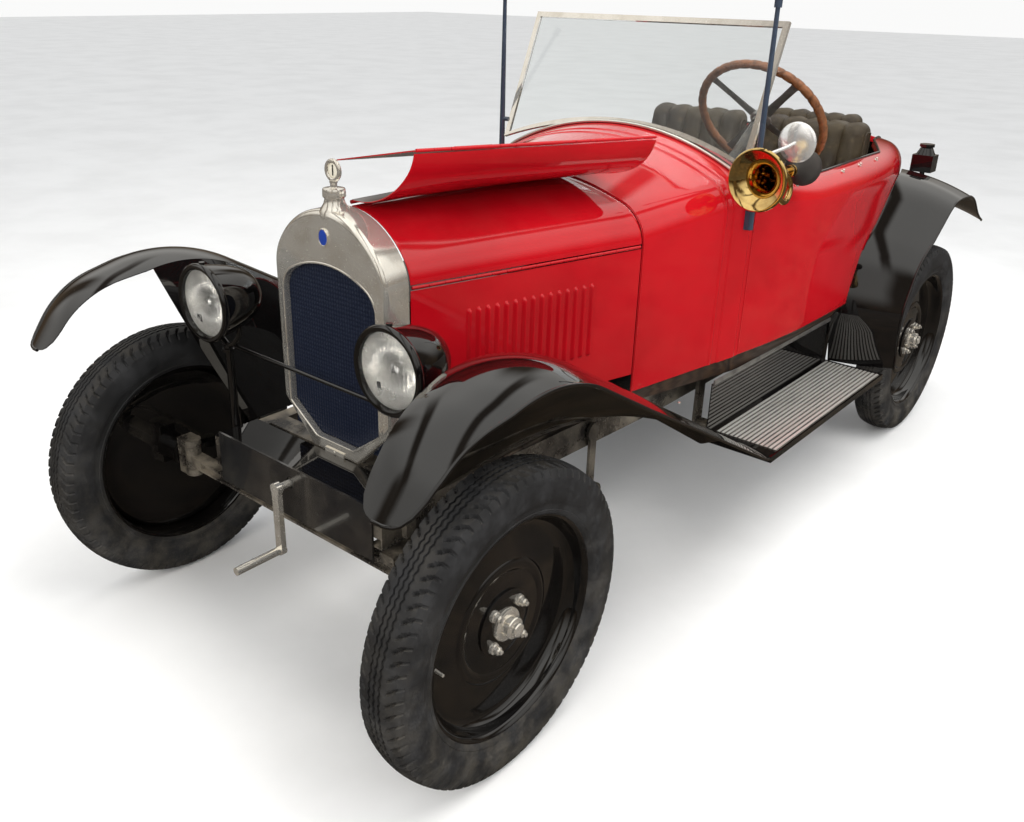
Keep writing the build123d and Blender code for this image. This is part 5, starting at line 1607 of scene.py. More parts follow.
@dataclass
class Wings:
    """Swept wings with rolled edges and inner valances, and the rear pair let in beside the body."""

    colors: Palette
    front_path: tuple[Flat, ...] = ((-340, 745), (-235, 880), (60, 955), (1100, 361), (1150, 352))
    front_radii: tuple[float, ...] = (280.0, 400.0, 100.0)
    front_inner: tuple[Flat, ...] = (
        (-340, 590), (-338, 574), (-331, 558), (-318, 546), (-300, 540), (-270, 536), (-80, 500),
        (500, 500), (1119.7, 456))
    front_outer: tuple[Flat, ...] = (
        (-340, 612), (-338, 630), (-331, 646), (-318, 658), (-300, 666), (-270, 673), (-100, 689),
        (400, 689), (1119.7, 664))
    rear_path: tuple[Flat, ...] = (
        (2012, 352), (1980, 560), (2060, 745), (2330, 935), (2555, 925), (2690, 820), (2790, 785))
    rear_radii: tuple[float, ...] = (250.0, 250.0, 250.0, 250.0, 300.0)
    rear_outer: tuple[Flat, ...] = ((1900, 675), (2150, 689), (2740, 689), (2900, 650))
    front_section: tuple[Flat, ...] = ((455.0, -34.0), (595.0, 0.0), (700.0, -32.0))
    rear_section: tuple[Flat, ...] = ((300.0, 30.0), (560.0, 14.0), (690.0, -30.0))
    front_foot: float = 1119.7
    rail_top: float = 513.3
    columns: int = 26
    sheet: float = 2.5
    edge: float = 4.0

    @staticmethod
    def along(table: Sequence[Flat], station: float) -> float:
        """Value of a table at a station.

        Args:
            table: Pairs of (station, value).
            station: Place along the car.

        Returns:
            The value there.
        """
        if station <= table[0][0]:
            return table[0][1]
        for (s0, v0), (s1, v1) in zip(table, table[1:]):
            if station <= s1:
                return v0 + (v1 - v0) * (station - s0) / max(s1 - s0, 1e-6)
        return table[-1][1]

    @staticmethod
    def crown(x: float, points: Sequence[Flat]) -> float:
        """Height of the arc through three points of the wing's section.

        Args:
            x: Place across the wing.
            points: Three points of (x, height).

        Returns:
            Height above the path.
        """
        (x0, h0), (x1, h1), (x2, h2) = points
        first = h0 * (x - x1) * (x - x2) / ((x0 - x1) * (x0 - x2))
        middle = h1 * (x - x0) * (x - x2) / ((x1 - x0) * (x1 - x2))
        return first + middle + h2 * (x - x0) * (x - x1) / ((x2 - x0) * (x2 - x1))

    def surface(self, path: Sequence[Flat], section: Sequence[Flat], inner: Callable[[float], float],
                outer: Sequence[Flat]) -> list[list[Vector]]:
        """Net of one left wing.

        Args:
            path: Side outline of the wing, from nose to foot.
            section: Three points of the arc across it.
            inner: Gives its inner edge at a station.
            outer: Table of its outer edge by station.

        Returns:
            Rows of points across the wing.
        """
        rows = []
        for index, (s, z) in enumerate(path):
            normal = normal_at(path, index)
            row = []
            for k in range(self.columns + 1):
                x = inner(s) + (self.along(outer, s) - inner(s)) * k / self.columns
                h = self.crown(x, section)
                row.append(at(x, s + normal.x * h, z + normal.y * h))
            rows.append(row)
        return rows

    def edges(self, form: Form, rows: Sequence[Sequence[Vector]], inner: bool = True) -> None:
        """Rolls a wire into the wing's free edges.

        Args:
            form: Form that takes the wire.
            rows: Net of the wing.
            inner: Runs the wire across the nose too.
        """
        outline = [row[-1] for row in rows]
        if inner:
            outline = list(rows[0]) + outline[1:]
        form.tube([p - Vector((0, 0, 0.0015)) for p in outline], self.edge, 8)

    def build(self) -> None:
        """Makes the four wings."""
        path = [p for p in arc_path(self.front_path, self.front_radii, 12.0) if p[0] <= self.front_foot]
        path = [(-340.0 + d, 745.0 + d * 9 / 7) for d in (0.0, 1.0, 3.0, 6.0)] + path[1:]
        front = self.surface(path, self.front_section, lambda s: self.along(self.front_inner, s),
                             self.front_outer)
        form, edges = Form(), Form()
        form.grid(front)
        self.edges(edges, front)
        self.valance(form, path)
        self.pair("front_wing", form, edges)
        path = arc_path(self.rear_path, self.rear_radii, 14.0)
        rear = self.surface(path, self.rear_section, self.rear_inner, self.rear_outer)
        form, edges = Form(), Form()
        form.grid(rear)
        self.edges(edges, rear, inner=False)
        self.pair("rear_wing", form, edges)

    def rear_inner(self, station: float) -> float:
        """Inner edge of the rear wing, just clear of the body and its sill.

        Args:
            station: Place along the car.

        Returns:
            Distance from the middle.
        """
        if station < 2060:
            return 459.0 + 30.0 * smooth_step(station, 1990.0, 2060.0)
        if station > 2780:
            return self.along(((2780, 360), (2900, 430)), station)
        return max(LINES.at(station).half - 14.0 + 18.0, 330.0)

    def valance(self, form: Form, path: Sequence[Flat]) -> None:
        """Adds the inner sheet from the wing down to the chassis rail.

        Args:
            form: Form of the wing.
            path: Side outline of the wing.
        """
        lengths = reach(path)
        total = lengths[-1] * 1.02
        top = [point for point, length in zip(path, lengths) if 0.2 <= length / total <= 0.775]
        low_first, low_last = top[0][0] + 110, top[-1][0]
        rows = []
        for s, z in top:
            t = (s - top[0][0]) / (top[-1][0] - top[0][0])
            foot = low_first + (low_last - low_first) * t
            row = []
            for k in range(11):
                u = k / 10
                sag = math.sin(u * math.pi) * 14.0
                x = 502 + (312 - 502) * u
                row.append(at(x, s + (foot - s) * u, z - 16 + (self.rail_top - z + 16) * u - sag))
            rows.append(row)
        form.grid(rows)

    def pair(self, name: str, form: Form, edges: Form) -> None:
        """Makes a left wing and its twin, each in place of the node of the same name.

        Args:
            name: Name of the pair.
            form: Left sheet.
            edges: Left edge wire.
        """
        for side in Side:
            hand = side.name.lower()
            for part, label, wall, replaced in (
                    (form, "sheet", self.sheet, (f"{name}_{hand}",)), (edges, "edge", 0.0, ())):
                copy = Form()
                copy.points = [Vector((p.x * side.value, p.y, p.z)) for p in part.points]
                copy.faces, copy.kinds = list(part.faces), list(part.kinds)
                make_piece(f"{name}_{label}_{hand}", copy, Look(
                    Body.CHASSIS, "wing_black", (self.colors.black,), replaced, wall=wall, crease=55.0))


# Front of the car


@dataclass
class Radiator:
    """Plated shell with a domed front band, a filler cap with a ring gauge, and a plain enamel badge."""

    colors: Palette
    front: float = 75.0
    back: float = 149.0
    fillet: float = 16.0
    lip: tuple[Flat, ...] = (
        (6.0, 74.8), (4.6, 73.6), (3.0, 73.1), (1.4, 73.6), (0.4, 75.0), (0.0, 78.0), (0.0, 92.0),
        (3.0, 92.0), (3.0, 100.0))
    neck: tuple[Flat, ...] = (
        (0.4, 1090), (37, 1090), (35, 1104), (30, 1112), (24.5, 1121), (22.5, 1128), (22, 1133),
        (25, 1134.5), (25.6, 1136), (25.6, 1151), (24.5, 1153.5), (20, 1154.5), (11, 1155), (8, 1157),
        (7.5, 1163), (9, 1166), (9, 1170), (0.4, 1170))

    @staticmethod
    def ring(hoop: Hoop, foot: Flat, cut: Flat) -> list[Flat]:
        """Outline of the shell or its window, from the middle of the foot round to it again.

        Args:
            hoop: Section that gives the sides and top.
            foot: Corner where the foot meets the slanting cut.
            cut: Corner where the cut meets the side.

        Returns:
            Points of the closed outline.
        """
        half = [(foot[0] * k / 4, foot[1]) for k in range(4)]
        half += [(foot[0] + (cut[0] - foot[0]) * k / 6, foot[1] + (cut[1] - foot[1]) * k / 6)
                 for k in range(6)]
        half += [(hoop.half, cut[1] + (hoop.shoulder - cut[1]) * k / 12) for k in range(12)]
        half += hoop.curve(hoop.half, 0.0, 30)
        return half + [(-x, z) for x, z in reversed(half[1:-1])]

    def outer(self, grow: float) -> list[Flat]:
        """Outline of the shell, moved outward."""
        hoop = Hoop(190 + grow, 955, 1110 + grow, 110 + grow, 510)
        return self.ring(hoop, (80 + grow * 0.2, 510 - grow * 0.35), (190 + grow, 617.6 - grow * 0.1))

    def window(self, grow: float) -> list[Flat]:
        """Outline of the window, moved outward."""
        hoop = Hoop(158 + grow, 900, 985 + grow, 60 + grow, 545)
        return self.ring(hoop, (66 + grow * 0.4, 545 - grow), (158 + grow, 612 - grow * 0.4))

    def build(self) -> None:
        """Makes the shell, the cap and the badge."""
        rows = [(self.outer(-2.5), self.back), (self.outer(0), self.back), (self.outer(0), 120.0),
                (self.outer(0), self.front + self.fillet)]
        for k in range(1, 7):
            a = math.pi / 2 * k / 6
            rows.append((self.outer(-self.fillet * (1 - math.cos(a))),
                         self.front + self.fillet * (1 - math.sin(a))))
        rows += [(self.window(grow), station) for grow, station in self.lip]
        rows += [(self.outer(-4.0), 100.0), (self.outer(-2.5), 110.0)]
        form = Form()
        form.grid([lay(ring, s) for ring, s in rows], around=True, along=True, flip=True)
        form.block(at(-34, 71.6, 511), at(34, 77, 524))
        screw = facing(at(0, 71.6, 517), AHEAD)
        form.lathe(((0.3, 1.6), (3.6, 1.4), (5, 0), (5, -1), (0.3, -1)), screw, 20)
        make_piece("plated_shell", form, Look(
            Body.CHASSIS, "nickel", (self.colors.nickel,), ("radiator_shell",), crease=40.0))
        self.build_core()
        self.build_cap()
        self.build_badge()

    def build_core(self) -> None:
        """Folds the cooling strips into upright zigzag columns crossed by fine crimps."""
        hoop = Hoop(164, 900, 990, 66, 545)
        columns, levels = spread(-164.0, 164.0, 2.25), spread(546.0, 988.0, 2.6)
        rows = []
        for z in levels:
            crimp = abs((z / 10.4) % 1.0 * 2 - 1)
            row = []
            for x in columns:
                fold = abs(((x + crimp * 1.1) / 9.0) % 1.0 * 2 - 1)
                row.append(at(x, 90.6 + fold * 5.5 + crimp * 1.6 * (1 - fold), z))
            rows.append(row)
        form = Form()
        form.grid(rows, keep=lambda r, c: levels[r + 1] <= hoop.top(columns[c]) + 2)
        back = whole([(164.0, 546.0)] + hoop.curve(164.0, 0.0, 24))
        form.grid([lay(back, 98), lay(back, 143)], around=True)
        form.cap(lay(back, 143))
        make_piece("zigzag_core", form, Look(
            Body.CHASSIS, "core", (self.colors.core,), ("radiator_core",), crease=20.0))

    def build_cap(self) -> None:
        """Makes the filler cap and its ring gauge."""
        form = Form()
        form.lathe(self.neck, Matrix.Translation(at(0, 110, 0)), 48)
        for angle in turns(24):
            spot = Vector((0.0246 * math.cos(angle), 0.0246 * math.sin(angle), 0)) + at(0, 110, 1136)
            form.tube([spot, spot + Vector((0, 0, 0.0105))], 1.6, 6)
        for side in Side:
            wing = [at(side.value * x, 110, z) for x, z in ((20, 1141), (27, 1143), (33, 1147), (35, 1148))]
            form.tube(wing, (6.0, 5.5, 5.0, 2.0), 14)
        ring = [at(20.5 * math.cos(a), 110, 1192 + 20.5 * math.sin(a)) for a in turns(48)]
        form.tube(ring, 5.2, 16, closed=True)
        form.lathe(((0.3, 2), (16.5, 2), (17, -2), (0.3, -2)), facing(at(0, 112, 1192), AHEAD), 32, kind=1)
        form.tube([at(0, 108.5, 1181), at(0, 108.5, 1204)], 1.3, 8, kind=2)
        make_piece("filler_cap", form, Look(
            Body.CHASSIS, "nickel", (self.colors.nickel, self.colors.dial, self.colors.satin),
            ("radiator_cap",)))

    def build_badge(self) -> None:
        """Makes the plain oval badge in its plated rim."""
        place = facing(at(0, 74.0, 1050), AHEAD) @ Matrix.Diagonal((1.25, 1.0, 1.0, 1.0))
        form = Form()
        form.lathe(((0.3, 4.6), (6, 4.4), (11, 3.6), (14, 2.4), (14, -2), (0.3, -2)), place, 48)
        form.lathe(((14, -2), (14, 3), (15, 3.8), (16.5, 3), (17, 0), (17, -2)), place, 48, kind=1)
        make_piece("plain_badge", form, Look(
            Body.CHASSIS, "nickel", (self.colors.badge, self.colors.nickel)))


@dataclass
class Headlamps:
    """Black bowls with dark rims, silvered reflectors, forked stems and a thin tie bar."""

    colors: Palette
    x: float = 321.0
    station: float = -43.0
    height: float = 853.0
    lens_radius: float = 82.2
    flute_pitch: float = 11.0
    bowl: tuple[Flat, ...] = (
        (0.4, 152), (12, 151), (30, 147), (48, 136), (62, 120), (74, 93), (82, 66), (88, 36),
        (91, 14), (91.5, 8), (95, 8), (97, 5), (98, 0), (97, -5), (93, -8.5), (87, -8), (83.5, -5),
        (83, 0), (83.5, 10), (80, 34), (73, 64), (60, 94), (44, 114), (24, 129), (0.4, 133))
    mirror: tuple[Flat, ...] = (
        (82.8, 10), (79, 32), (72, 60), (60, 88), (44, 108), (26, 121), (8, 127), (0.4, 127.5),
        (0.4, 129), (24, 124), (46, 110), (62, 90), (74, 61), (81, 33), (83.2, 11))
    filament: tuple[Flat, ...] = (
        (0.4, 52), (9, 54), (13, 62), (13, 76), (9, 86), (7, 92), (7, 126), (0.4, 126))

    def build(self) -> None:
        """Makes both lamps with their mounting."""
        bowls, silver = Form(), Form()
        place = facing(at(self.x, self.station, self.height), BACK)
        bowls.lathe(self.bowl, place, 72)
        silver.lathe(self.mirror, place, 64)
        silver.lathe(self.filament, place, 24)
        stem = [at(self.x, 15, z) for z in (500, 560, 640, 700, 730)]
        bowls.tube(stem, (13, 11.5, 10.5, 10, 10), 16)
        for side in Side:
            arm = [at(self.x + side.value * out, s, z) for out, s, z in (
                (0, 15, 728), (26, 17, 742), (40, 20, 762), (44, 24, 790), (52, 26, 812))]
            bowls.tube(arm, (8, 7.5, 7, 6.5, 5.5), 12)
        bowls.lathe(((0.3, 0), (16, 0), (17, 3), (16, 8), (12, 9), (12, 16), (0.3, 17)),
                    Matrix.Translation(at(self.x, 15, 716)), 24)
        bowls.tube([at(self.x, -36, 948), at(self.x, -36, 954)], 7, 12)
        bowls.mirror()
        silver.mirror()
        bowls.tube([at(-self.x, 15, 735), at(0, 15, 735), at(self.x, 15, 735)], 5, 12)
        make_piece("lamp_bowls", bowls, Look(
            Body.CHASSIS, "wing_black", (self.colors.black,), ("headlamps",)))
        make_piece("lamp_reflectors", silver, Look(Body.CHASSIS, "nickel", (self.colors.reflector,)))
        self.build_lenses()

    def build_lenses(self) -> None:
        """Makes both glasses, domed and fluted in front and smooth behind."""
        glass = Form()
        for side in Side:
            for front, depth in ((True, 0.0), (False, 2.6)):
                rows = []
                for r in spread(0.5, self.lens_radius, 2.7):
                    ring = []
                    dome = 4.0 * (1 - (r / self.lens_radius) ** 2)
                    fade = 1 - smooth_step(r, 76.0, 81.0)
                    for a in turns(96):
                        x = r * math.cos(a)
                        flute = 1.5 * abs(math.sin(math.pi * x / self.flute_pitch)) * fade if front else 0
                        ring.append(at(side.value * self.x + x, self.station + 3 + depth - flute - dome,
                                       self.height + r * math.sin(a)))
                    rows.append(ring)
                glass.grid(rows, around=True, flip=not front)
        make_piece("fluted_lenses", glass, Look(
            Body.CHASSIS, "glass", (self.colors.lens,), ("headlamp_glass",), crease=30.0))


# Fittings


@dataclass
class Fittings:
    """Horn, mirror, screen strips, rim studs, apron strips and the steering wheel."""

    colors: Palette
    horn: Point = (505.0, 1129.0, 1105.0)
    bell: tuple[Flat, ...] = (
        (80, -1), (83, 0.5), (84.5, 4), (83, 7.5), (79, 8.5), (70, 9.5), (58, 15), (46, 26), (37, 42),
        (30, 62), (24.5, 86), (20.5, 112), (18, 136), (17, 152), (13, 152), (14.5, 130), (18, 106),
        (22, 84), (27.5, 61), (34, 42), (43, 27), (55, 15), (68, 8), (77, 3))
    bulb: tuple[Flat, ...] = (
        (10, 0), (14, 0), (15, 4), (13.5, 9), (14, 14), (18, 22), (27, 32), (38, 42), (47, 54),
        (51.5, 68), (51.5, 80), (47, 96), (36, 110), (20, 119), (6, 122), (0.4, 122), (0.4, 8),
        (10, 8))
    mirror: tuple[Flat, ...] = (
        (0.4, -11), (20, -10), (38, -7), (50, -2.5), (54.5, 1), (55.5, 4), (54, 7), (51, 7), (50.5, 5),
        (0.4, 5))
    rim_stud: tuple[Flat, ...] = (
        (0.3, 9), (3, 8.6), (4.4, 7), (4, 5), (2.4, 3.6), (2.4, 1.6), (6, 1.2), (7, -1), (0.3, -1))
    wheel_boss: tuple[Flat, ...] = (
        (0.4, 16), (11, 16), (14, 13), (15, 8), (26, 6), (33, 2), (34, -6), (30, -12), (22, -15),
        (19.5, -26), (0.4, -26))
    apron_strip: tuple[Flat, ...] = (
        (-3, -5), (0, -7), (2.6, -6), (3.4, -2), (3.4, 3), (1.6, 6.5), (-1.5, 7), (-3, 5))

    def build(self) -> None:
        """Makes the fittings."""
        self.build_horn()
        self.build_mirror()
        self.build_screen_base()
        self.build_trim()
        self.build_wheel()

    def build_horn(self) -> None:
        """Makes the brass horn and its rubber bulb."""
        x, s, z = self.horn
        form = Form()
        form.lathe(self.bell, facing(at(x, s, z), BACK), 72)
        loop = []
        for k in range(61):
            angle = math.pi / 2 - 2 * math.pi * k / 60
            loop.append(at(x + 18 * math.sin(math.pi * k / 60), s + 150 + 38 * math.cos(angle),
                           z - 38 + 38 * math.sin(angle)))
        form.tube(loop, 9, 16)
        form.tube([at(x, s + 148, z), at(x, s + 180, z), at(x, s + 218, z)], (10, 9.5, 10), 18)
        for place in (146.0, 196.0, 212.0):
            form.lathe(((9, -4), (17, -4), (18, 0), (17, 4), (9, 4)), facing(at(x, s + place, z), BACK), 28)
        form.tube([at(x - 6, s + 152, z - 6), at(x - 24, s + 140, z - 22), at(x - 44, s + 112, z - 36)],
                  7, 12, kind=1)
        make_piece("brass_horn", form, Look(
            Body.CHASSIS, "horn_brass", (self.colors.brass, self.colors.nickel), ("horn",)))
        form = Form()
        form.lathe(self.bulb, facing(at(x, s + 215, z), BACK), 48)
        make_piece("squeeze_bulb", form, Look(
            Body.CHASSIS, "bulb_rubber", (self.colors.bulb,), ("horn_bulb",)))

    def build_mirror(self) -> None:
        """Makes the round mirror and its stalk."""
        form = Form()
        form.lathe(self.mirror, facing(at(508, 1342, 1182), BACK), 64)
        form.tube([at(457, 1230, 1150), at(474, 1252, 1156), at(498, 1306, 1172), at(508, 1333, 1182)],
                  (6, 5.5, 5, 5), 12)
        form.lathe(((9, -9), (13, -9), (13, 9), (9, 9)), Matrix.Translation(at(457, 1227, 1150)), 24)
        make_piece("round_mirror", form, Look(
            Body.CHASSIS, "nickel", (self.colors.reflector,), ("mirror",)))

    def build_screen_base(self) -> None:
        """Lays the plated strip and the rubber seal along the cowl under the windscreen."""
        for name, slot, station, lift, radius, color in (
                ("screen_strip", "nickel", 1222.0, 8.5, 4.5, self.colors.nickel),
                ("screen_seal", "bulb_rubber", 1232.0, 5.0, 5.5, self.colors.bulb)):
            form = Form()
            hoop = LINES.at(station)
            curve = hoop.grown(lift).curve(hoop.half + lift - 12, 0.0, 30)
            form.tube(lay(whole(curve), station), radius, 12)
            make_piece(name, form, Look(Body.CHASSIS, slot, (color,)))

    def build_trim(self) -> None:
        """Adds rim studs and the bright strips on the aprons."""
        form = Form()
        tub = Tub(self.colors)
        for station in (1385.0, 1500.0, 1845.0, 1985.0, 2130.0):
            x = tub.width(station) + 30
            z = LINES.at(station).top(x)
            place = Matrix.Translation(at(x, station, z)) @ Matrix.Rotation(math.radians(32), 4, "Y")
            form.lathe(self.rim_stud, place, 18)
        for spot in ((455.5, 930.0), (455.5, 1892.0)):
            form.lathe(((0.3, 4), (4, 3), (5, 0), (0.3, 0)), Matrix.Translation(at(*spot, 512)), 12)
        form.mirror()
        make_piece("rim_studs", form, Look(Body.CHASSIS, "nickel", (self.colors.nickel,)))
        form = Form()
        path = [at(458.5, s, 517 - (s - 934) * 0.0104) for s in spread(1124.0, 1984.0, 30.0)]
        rows = [[p + Vector((dx, 0, dz)) / 1000 for dx, dz in self.apron_strip] for p in path]
        form.grid(rows, around=True)
        form.cap(rows[0])
        form.cap(rows[-1])
        form.mirror()
        make_piece("apron_strips", form, Look(Body.CHASSIS, "tread_aluminium", (self.colors.steel,)))

    def build_wheel(self) -> None:
        """Makes the steering wheel with its notched rim."""
        tilt = math.radians(35)
        place = facing(at(225, 1700, 1190), Vector((0, math.cos(tilt), math.sin(tilt))), Vector((1, 0, 0)))
        form = Form()
        notches = 36
        angles = turns(8 * notches)
        radii = [13.4 - 1.7 * max(0.0, math.cos(angle * notches)) ** 3 for angle in angles]
        form.tube([place @ polar(205, angle) for angle in angles], radii, 16, closed=True)
        for k in range(4):
            turn = place @ Matrix.Rotation(math.radians(45 + 90 * k), 4, "Z")
            rows = []
            for r, w, t, h in ((20, 17, 4, -4), (60, 14, 3, -3), (120, 12, 2.5, -1), (180, 12.5, 2.5, 0),
                               (196, 15, 3, 0)):
                rows.append([turn @ (Vector((r, w * math.cos(a), h + t * math.sin(a))) / 1000)
                             for a in turns(12)])
            form.grid(rows, around=True, kind=1)
        form.lathe(self.wheel_boss, place, 40, kind=1)
        make_piece("hand_wheel", form, Look(
            Body.HAND_WHEEL, "wheel_brown", (self.colors.grip, self.colors.steel), ("steering_wheel",)))


# Soft furnishings


@dataclass
class Seats:
    """Fluted leather seats with piped corners."""

    colors: Palette
    flute: float = 12.0
    rounding: float = 34.0

    def cushion(self, name: str, x0: float, x1: float, flutes: int, line: Sequence[Flat],
                radii: Sequence[float], padded_share: Flat, replaced: str) -> None:
        """Makes one seat from a closed side outline drawn across its width.

        Args:
            name: Name of the piece.
            x0: Inner side.
            x1: Outer side.
            flutes: Number of upright rolls.
            line: Corners of the side outline, from the cushion's front foot to the back's rear foot.
            radii: Corner radii.
            padded_share: Part of the outline that carries flutes, from 0 to 1.
            replaced: CAD node that it stands for.
        """
        path = arc_path(line, radii, 12.0)
        lengths = reach(path)
        first, last = padded_share
        columns = flutes * 14
        rows = []
        for c in range(columns + 1):
            u = c / columns
            x = x0 + (x1 - x0) * u
            near = min(x - x0, x1 - x)
            t = max(0.0, 1 - near / self.rounding)
            shrink = self.rounding * 0.6 * (1 - math.sqrt(max(1 - t * t, 0.0)))
            swell = self.flute * (abs(math.sin(math.pi * u * flutes)) ** 0.55)
            row = []
            for index, (s, z) in enumerate(path):
                normal = normal_at(path, index)
                share = lengths[index] / lengths[-1]
                weight = smooth_step(share, first, first + 0.05)
                weight *= 1 - smooth_step(share, last - 0.05, last)
                wrinkle = 1.3 * math.sin(s * 0.09 + z * 0.05 + x * 0.04) * math.sin(z * 0.031 + x * 0.07)
                push = (swell + wrinkle) * weight - shrink - 7.0 * weight
                row.append(at(x, s + normal.x * push, z + normal.y * push))
            rows.append(row)
        form = Form()
        form.grid(rows)
        for row in (rows[0], rows[-1]):
            form.cap(row)
        form.grid([[row[0] for row in rows], [row[-1] for row in rows]])
        for row in (rows[0], rows[-1]):
            form.tube(row[2:-2], 3.6, 8)
        seat = make_piece(name, form, Look(
            Body.CHASSIS, "leather", (self.colors.hide,), (replaced,), crease=60.0))

    def build(self) -> None:
        """Makes the three seats."""
        front = ((1700, 560), (1690, 765), (2010, 745), (2090, 1150), (2180, 1150), (2140, 560))
        for name, x0, x1, node in (("driver_seat", 45.0, 418.0, "seat_left"),
                                   ("passenger_seat", -418.0, -45.0, "seat_right")):
            self.cushion(name, x0, x1, 5, front, (40.0, 22.0, 38.0, 30.0), (0.14, 0.82), node)
        rear = ((2300, 600), (2290, 765), (2500, 745), (2570, 1120), (2650, 1120), (2650, 640))
        self.cushion("rear_seat_cover", -212.0, 212.0, 6, rear, (30.0, 20.0, 32.0, 26.0), (0.12, 0.8),
                     "seat_rear")


# Camera, light and floor


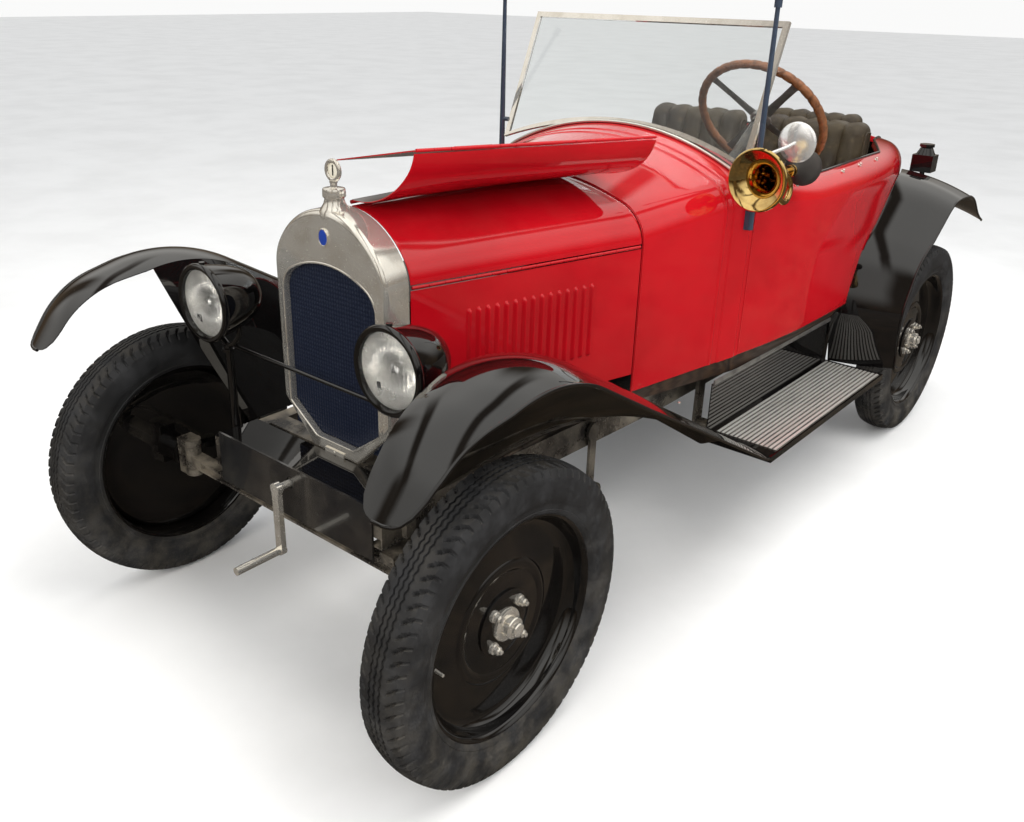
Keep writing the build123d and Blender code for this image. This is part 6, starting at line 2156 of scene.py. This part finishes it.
@dataclass(frozen=True)
class Studio:
    """The photograph's view of the car under soft light on a pale floor."""

    place: Point = (1.633, -2.527, 1.571)
    yaw: float = 40.55
    pitch: float = 23.89
    roll: float = 1.05
    lens: float = 33.56
    shift: Flat = (0.0242, -0.005)
    floor_half: float = 40.0

    def camera(self) -> None:
        """Sets the camera where the photographer stood."""
        data = bpy.data.cameras.new("photo_camera")
        data.lens = self.lens
        data.shift_x, data.shift_y = self.shift
        data.clip_start = 0.05
        camera = bpy.data.objects.new("photo_camera", data)
        bpy.context.scene.collection.objects.link(camera)
        yaw = Matrix.Rotation(math.radians(self.yaw), 4, "Z")
        pitch = Matrix.Rotation(math.radians(90 - self.pitch), 4, "X")
        roll = Matrix.Rotation(math.radians(self.roll), 4, "Z")
        camera.matrix_world = Matrix.Translation(self.place) @ (yaw @ pitch) @ roll
        bpy.context.scene.camera = camera

    def light(self, name: str, place: Point, target: Point, size: Flat, power: float, color: Point) -> None:
        """Hangs one area light that shiny faces don't mirror.

        Args:
            name: Name of the light.
            place: Where it hangs, in metres.
            target: Where it points.
            size: Its width and height in metres.
            power: Its power in watts.
            color: Its colour.
        """
        data = bpy.data.lights.new(name, "AREA")
        data.shape = "RECTANGLE"
        data.size, data.size_y = size
        data.energy = power
        data.color = color
        lamp = bpy.data.objects.new(name, data)
        lamp.location = place
        lamp.visible_glossy = False
        lamp.rotation_euler = (Vector(target) - Vector(place)).to_track_quat("-Z", "Y").to_euler()
        bpy.context.scene.collection.objects.link(lamp)

    def lights(self) -> None:
        """Hangs the lights and sets the world."""
        self.light("roof_light", (0.9, -0.2, 4.4), (0.1, 0.0, 0.5), (2.2, 5.0), 190.0, (1.0, 0.985, 0.96))
        self.light("front_light", (1.4, -5.4, 3.0), (0.0, -1.0, 0.5), (3.2, 1.3), 115.0, (1.0, 0.96, 0.9))
        self.light("side_light", (5.2, 1.0, 2.4), (0.3, 0.2, 0.6), (4.6, 1.3), 105.0, (0.97, 0.98, 1.0))
        world = bpy.data.worlds.new("hall")
        bpy.context.scene.world = world
        world.use_nodes = True
        g = Graph(world.node_tree)
        fill = world.node_tree.nodes["Background"]
        fill.inputs["Color"].default_value = (0.95, 0.97, 1.0, 1)
        fill.inputs["Strength"].default_value = 0.95
        seen = g.add("Background", {}, Color=(0.96, 0.96, 0.955, 1), Strength=1.0)
        glossy = g.add("Background", {}, Color=self.reflected(g), Strength=1.0)
        rays = g.add("LightPath")
        direct = g.math("MAXIMUM", rays.outputs["Is Camera Ray"], rays.outputs["Is Transmission Ray"])
        mirrored = g.add("MixShader", {}, in0=rays.outputs["Is Glossy Ray"], in1=fill.outputs[0],
                         in2=glossy.outputs[0])
        mix = g.add("MixShader", {}, in0=direct, in1=mirrored.outputs[0], in2=seen.outputs[0])
        g.put(world.node_tree.nodes["World Output"].inputs["Surface"], mix.outputs[0])

    @staticmethod
    def reflected(g: Graph) -> bpy.types.NodeSocket:
        """Surroundings seen in the paint: brown low down, a pale canopy above with soft seams.

        Args:
            g: Graph of the world.

        Returns:
            Colour of the surroundings.
        """
        way = g.add("TexCoord").outputs["Generated"]
        split = g.add("SeparateXYZ", {}, in0=way)
        up = split.outputs[2]
        turn = g.math("ARCTAN2", split.outputs[1], split.outputs[0])
        panel = g.math("ABSOLUTE", g.math("SINE", g.math("MULTIPLY", turn, 3.0)))
        canopy = g.blend(g.ramp(panel, 0.15, 0.6), (0.1, 0.075, 0.05, 1), (0.8, 0.78, 0.74, 1))
        cloud = g.add("TexNoise", {}, Vector=way, Scale=2.6, Detail=4.0, Roughness=0.6).outputs["Fac"]
        low = g.blend(g.ramp(cloud, 0.42, 0.62), (0.03, 0.02, 0.012, 1), (0.13, 0.09, 0.055, 1))
        wall = g.blend(g.ramp(up, 0.02, 0.4), low, canopy)
        across = g.math("ADD", split.outputs[0], g.math("MULTIPLY", split.outputs[1], 0.35))
        seam = g.math("ABSOLUTE", g.math("SINE", g.math("MULTIPLY", across, 5.2)))
        roof = g.blend(g.ramp(seam, 0.12, 0.4), (0.1, 0.08, 0.06, 1), (1.15, 1.13, 1.08, 1))
        return g.blend(g.ramp(up, 0.5, 0.8), wall, roof)

    def floor(self) -> None:
        """Lays the pale floor, with a painted dark brown reflection colour for glossy rays."""
        s = Surface("pale_floor")
        g = s.graph
        cloud = g.ramp(g.noise(1.4, 5.0, 0.6), 0.35, 0.7)
        tone = g.blend(cloud, (0.84, 0.835, 0.82, 1), (0.78, 0.775, 0.76, 1))
        # Painted reflection: glossy rays see the floor as dark brown patches instead of its pale tone, so
        # shiny faces mirror dark brown.
        rays = g.add("LightPath")
        glossy = g.math("SUBTRACT", rays.outputs["Is Glossy Ray"], rays.outputs["Is Transmission Ray"])
        glossy = g.math("MAXIMUM", glossy, 0.0)
        patch = g.ramp(g.noise(3.0, 5.0, 0.7), 0.35, 0.7)
        brown = g.blend(patch, (0.02, 0.015, 0.009, 1), (0.075, 0.052, 0.03, 1))
        s.set(Base_Color=g.blend(glossy, tone, brown), Roughness=g.mix(g.noise(5.0, 4.0, 0.6), 0.5, 0.7))
        half = self.floor_half
        corners = [(-half, -half, 0), (half, -half, 0), (half, half, 0), (-half, half, 0)]
        mesh = bpy.data.meshes.new("floor")
        mesh.from_pydata(corners, [], [(0, 1, 2, 3)])
        mesh.materials.append(s.material)
        floor = bpy.data.objects.new("floor", mesh)
        bpy.context.scene.collection.objects.link(floor)

    def build(self) -> None:
        """Sets camera, lights, floor and view transform."""
        self.camera()
        self.lights()
        self.floor()
        bpy.context.scene.view_settings.view_transform = "Standard"


def dress_frame(colors: Palette) -> None:
    """Gives every CAD node the finish of its material slot.

    Args:
        colors: The car's finishes.
    """
    finishes = {
        "black_metal": colors.chassis, "engine_iron": colors.iron, "spring_steel": colors.chassis,
        "nickel": colors.nickel, "core": colors.core, "red_paint": colors.red, "dash": colors.satin,
        "floor_wood": colors.boards, "leather": colors.hide, "glass": colors.pane,
        "post_steel": colors.post, "wing_black": colors.black, "tread_aluminium": colors.tread,
        "plate_black": colors.satin,
        "horn_brass": colors.brass, "bulb_rubber": colors.bulb, "exhaust_steel": colors.iron,
        "lever_steel": colors.steel, "wheel_brown": colors.grip, "tyre": colors.tyre,
        "disc_black": colors.black, "handle_steel": colors.nickel,
    }
    for part in frame["record"]["subparts"]:
        node = frame["nodes"][part["node"]]
        node.data.materials.clear()
        node.data.materials.append(finishes[part["material_slot"]])


def main() -> None:
    """Builds every assembly in order."""
    logging.basicConfig(level=logging.INFO, format="%(name)s %(message)s")
    colors = build_palette()
    dress_frame(colors)
    for assembly in (Tyres, DiscWheels, Scuttle, Tub, Bonnet, Wings, Radiator, Headlamps, Fittings, Seats):
        assembly(colors).build()
        LOG.info("built %s", assembly.__name__)
    Studio().build()


if __name__ == "__main__":
    main()
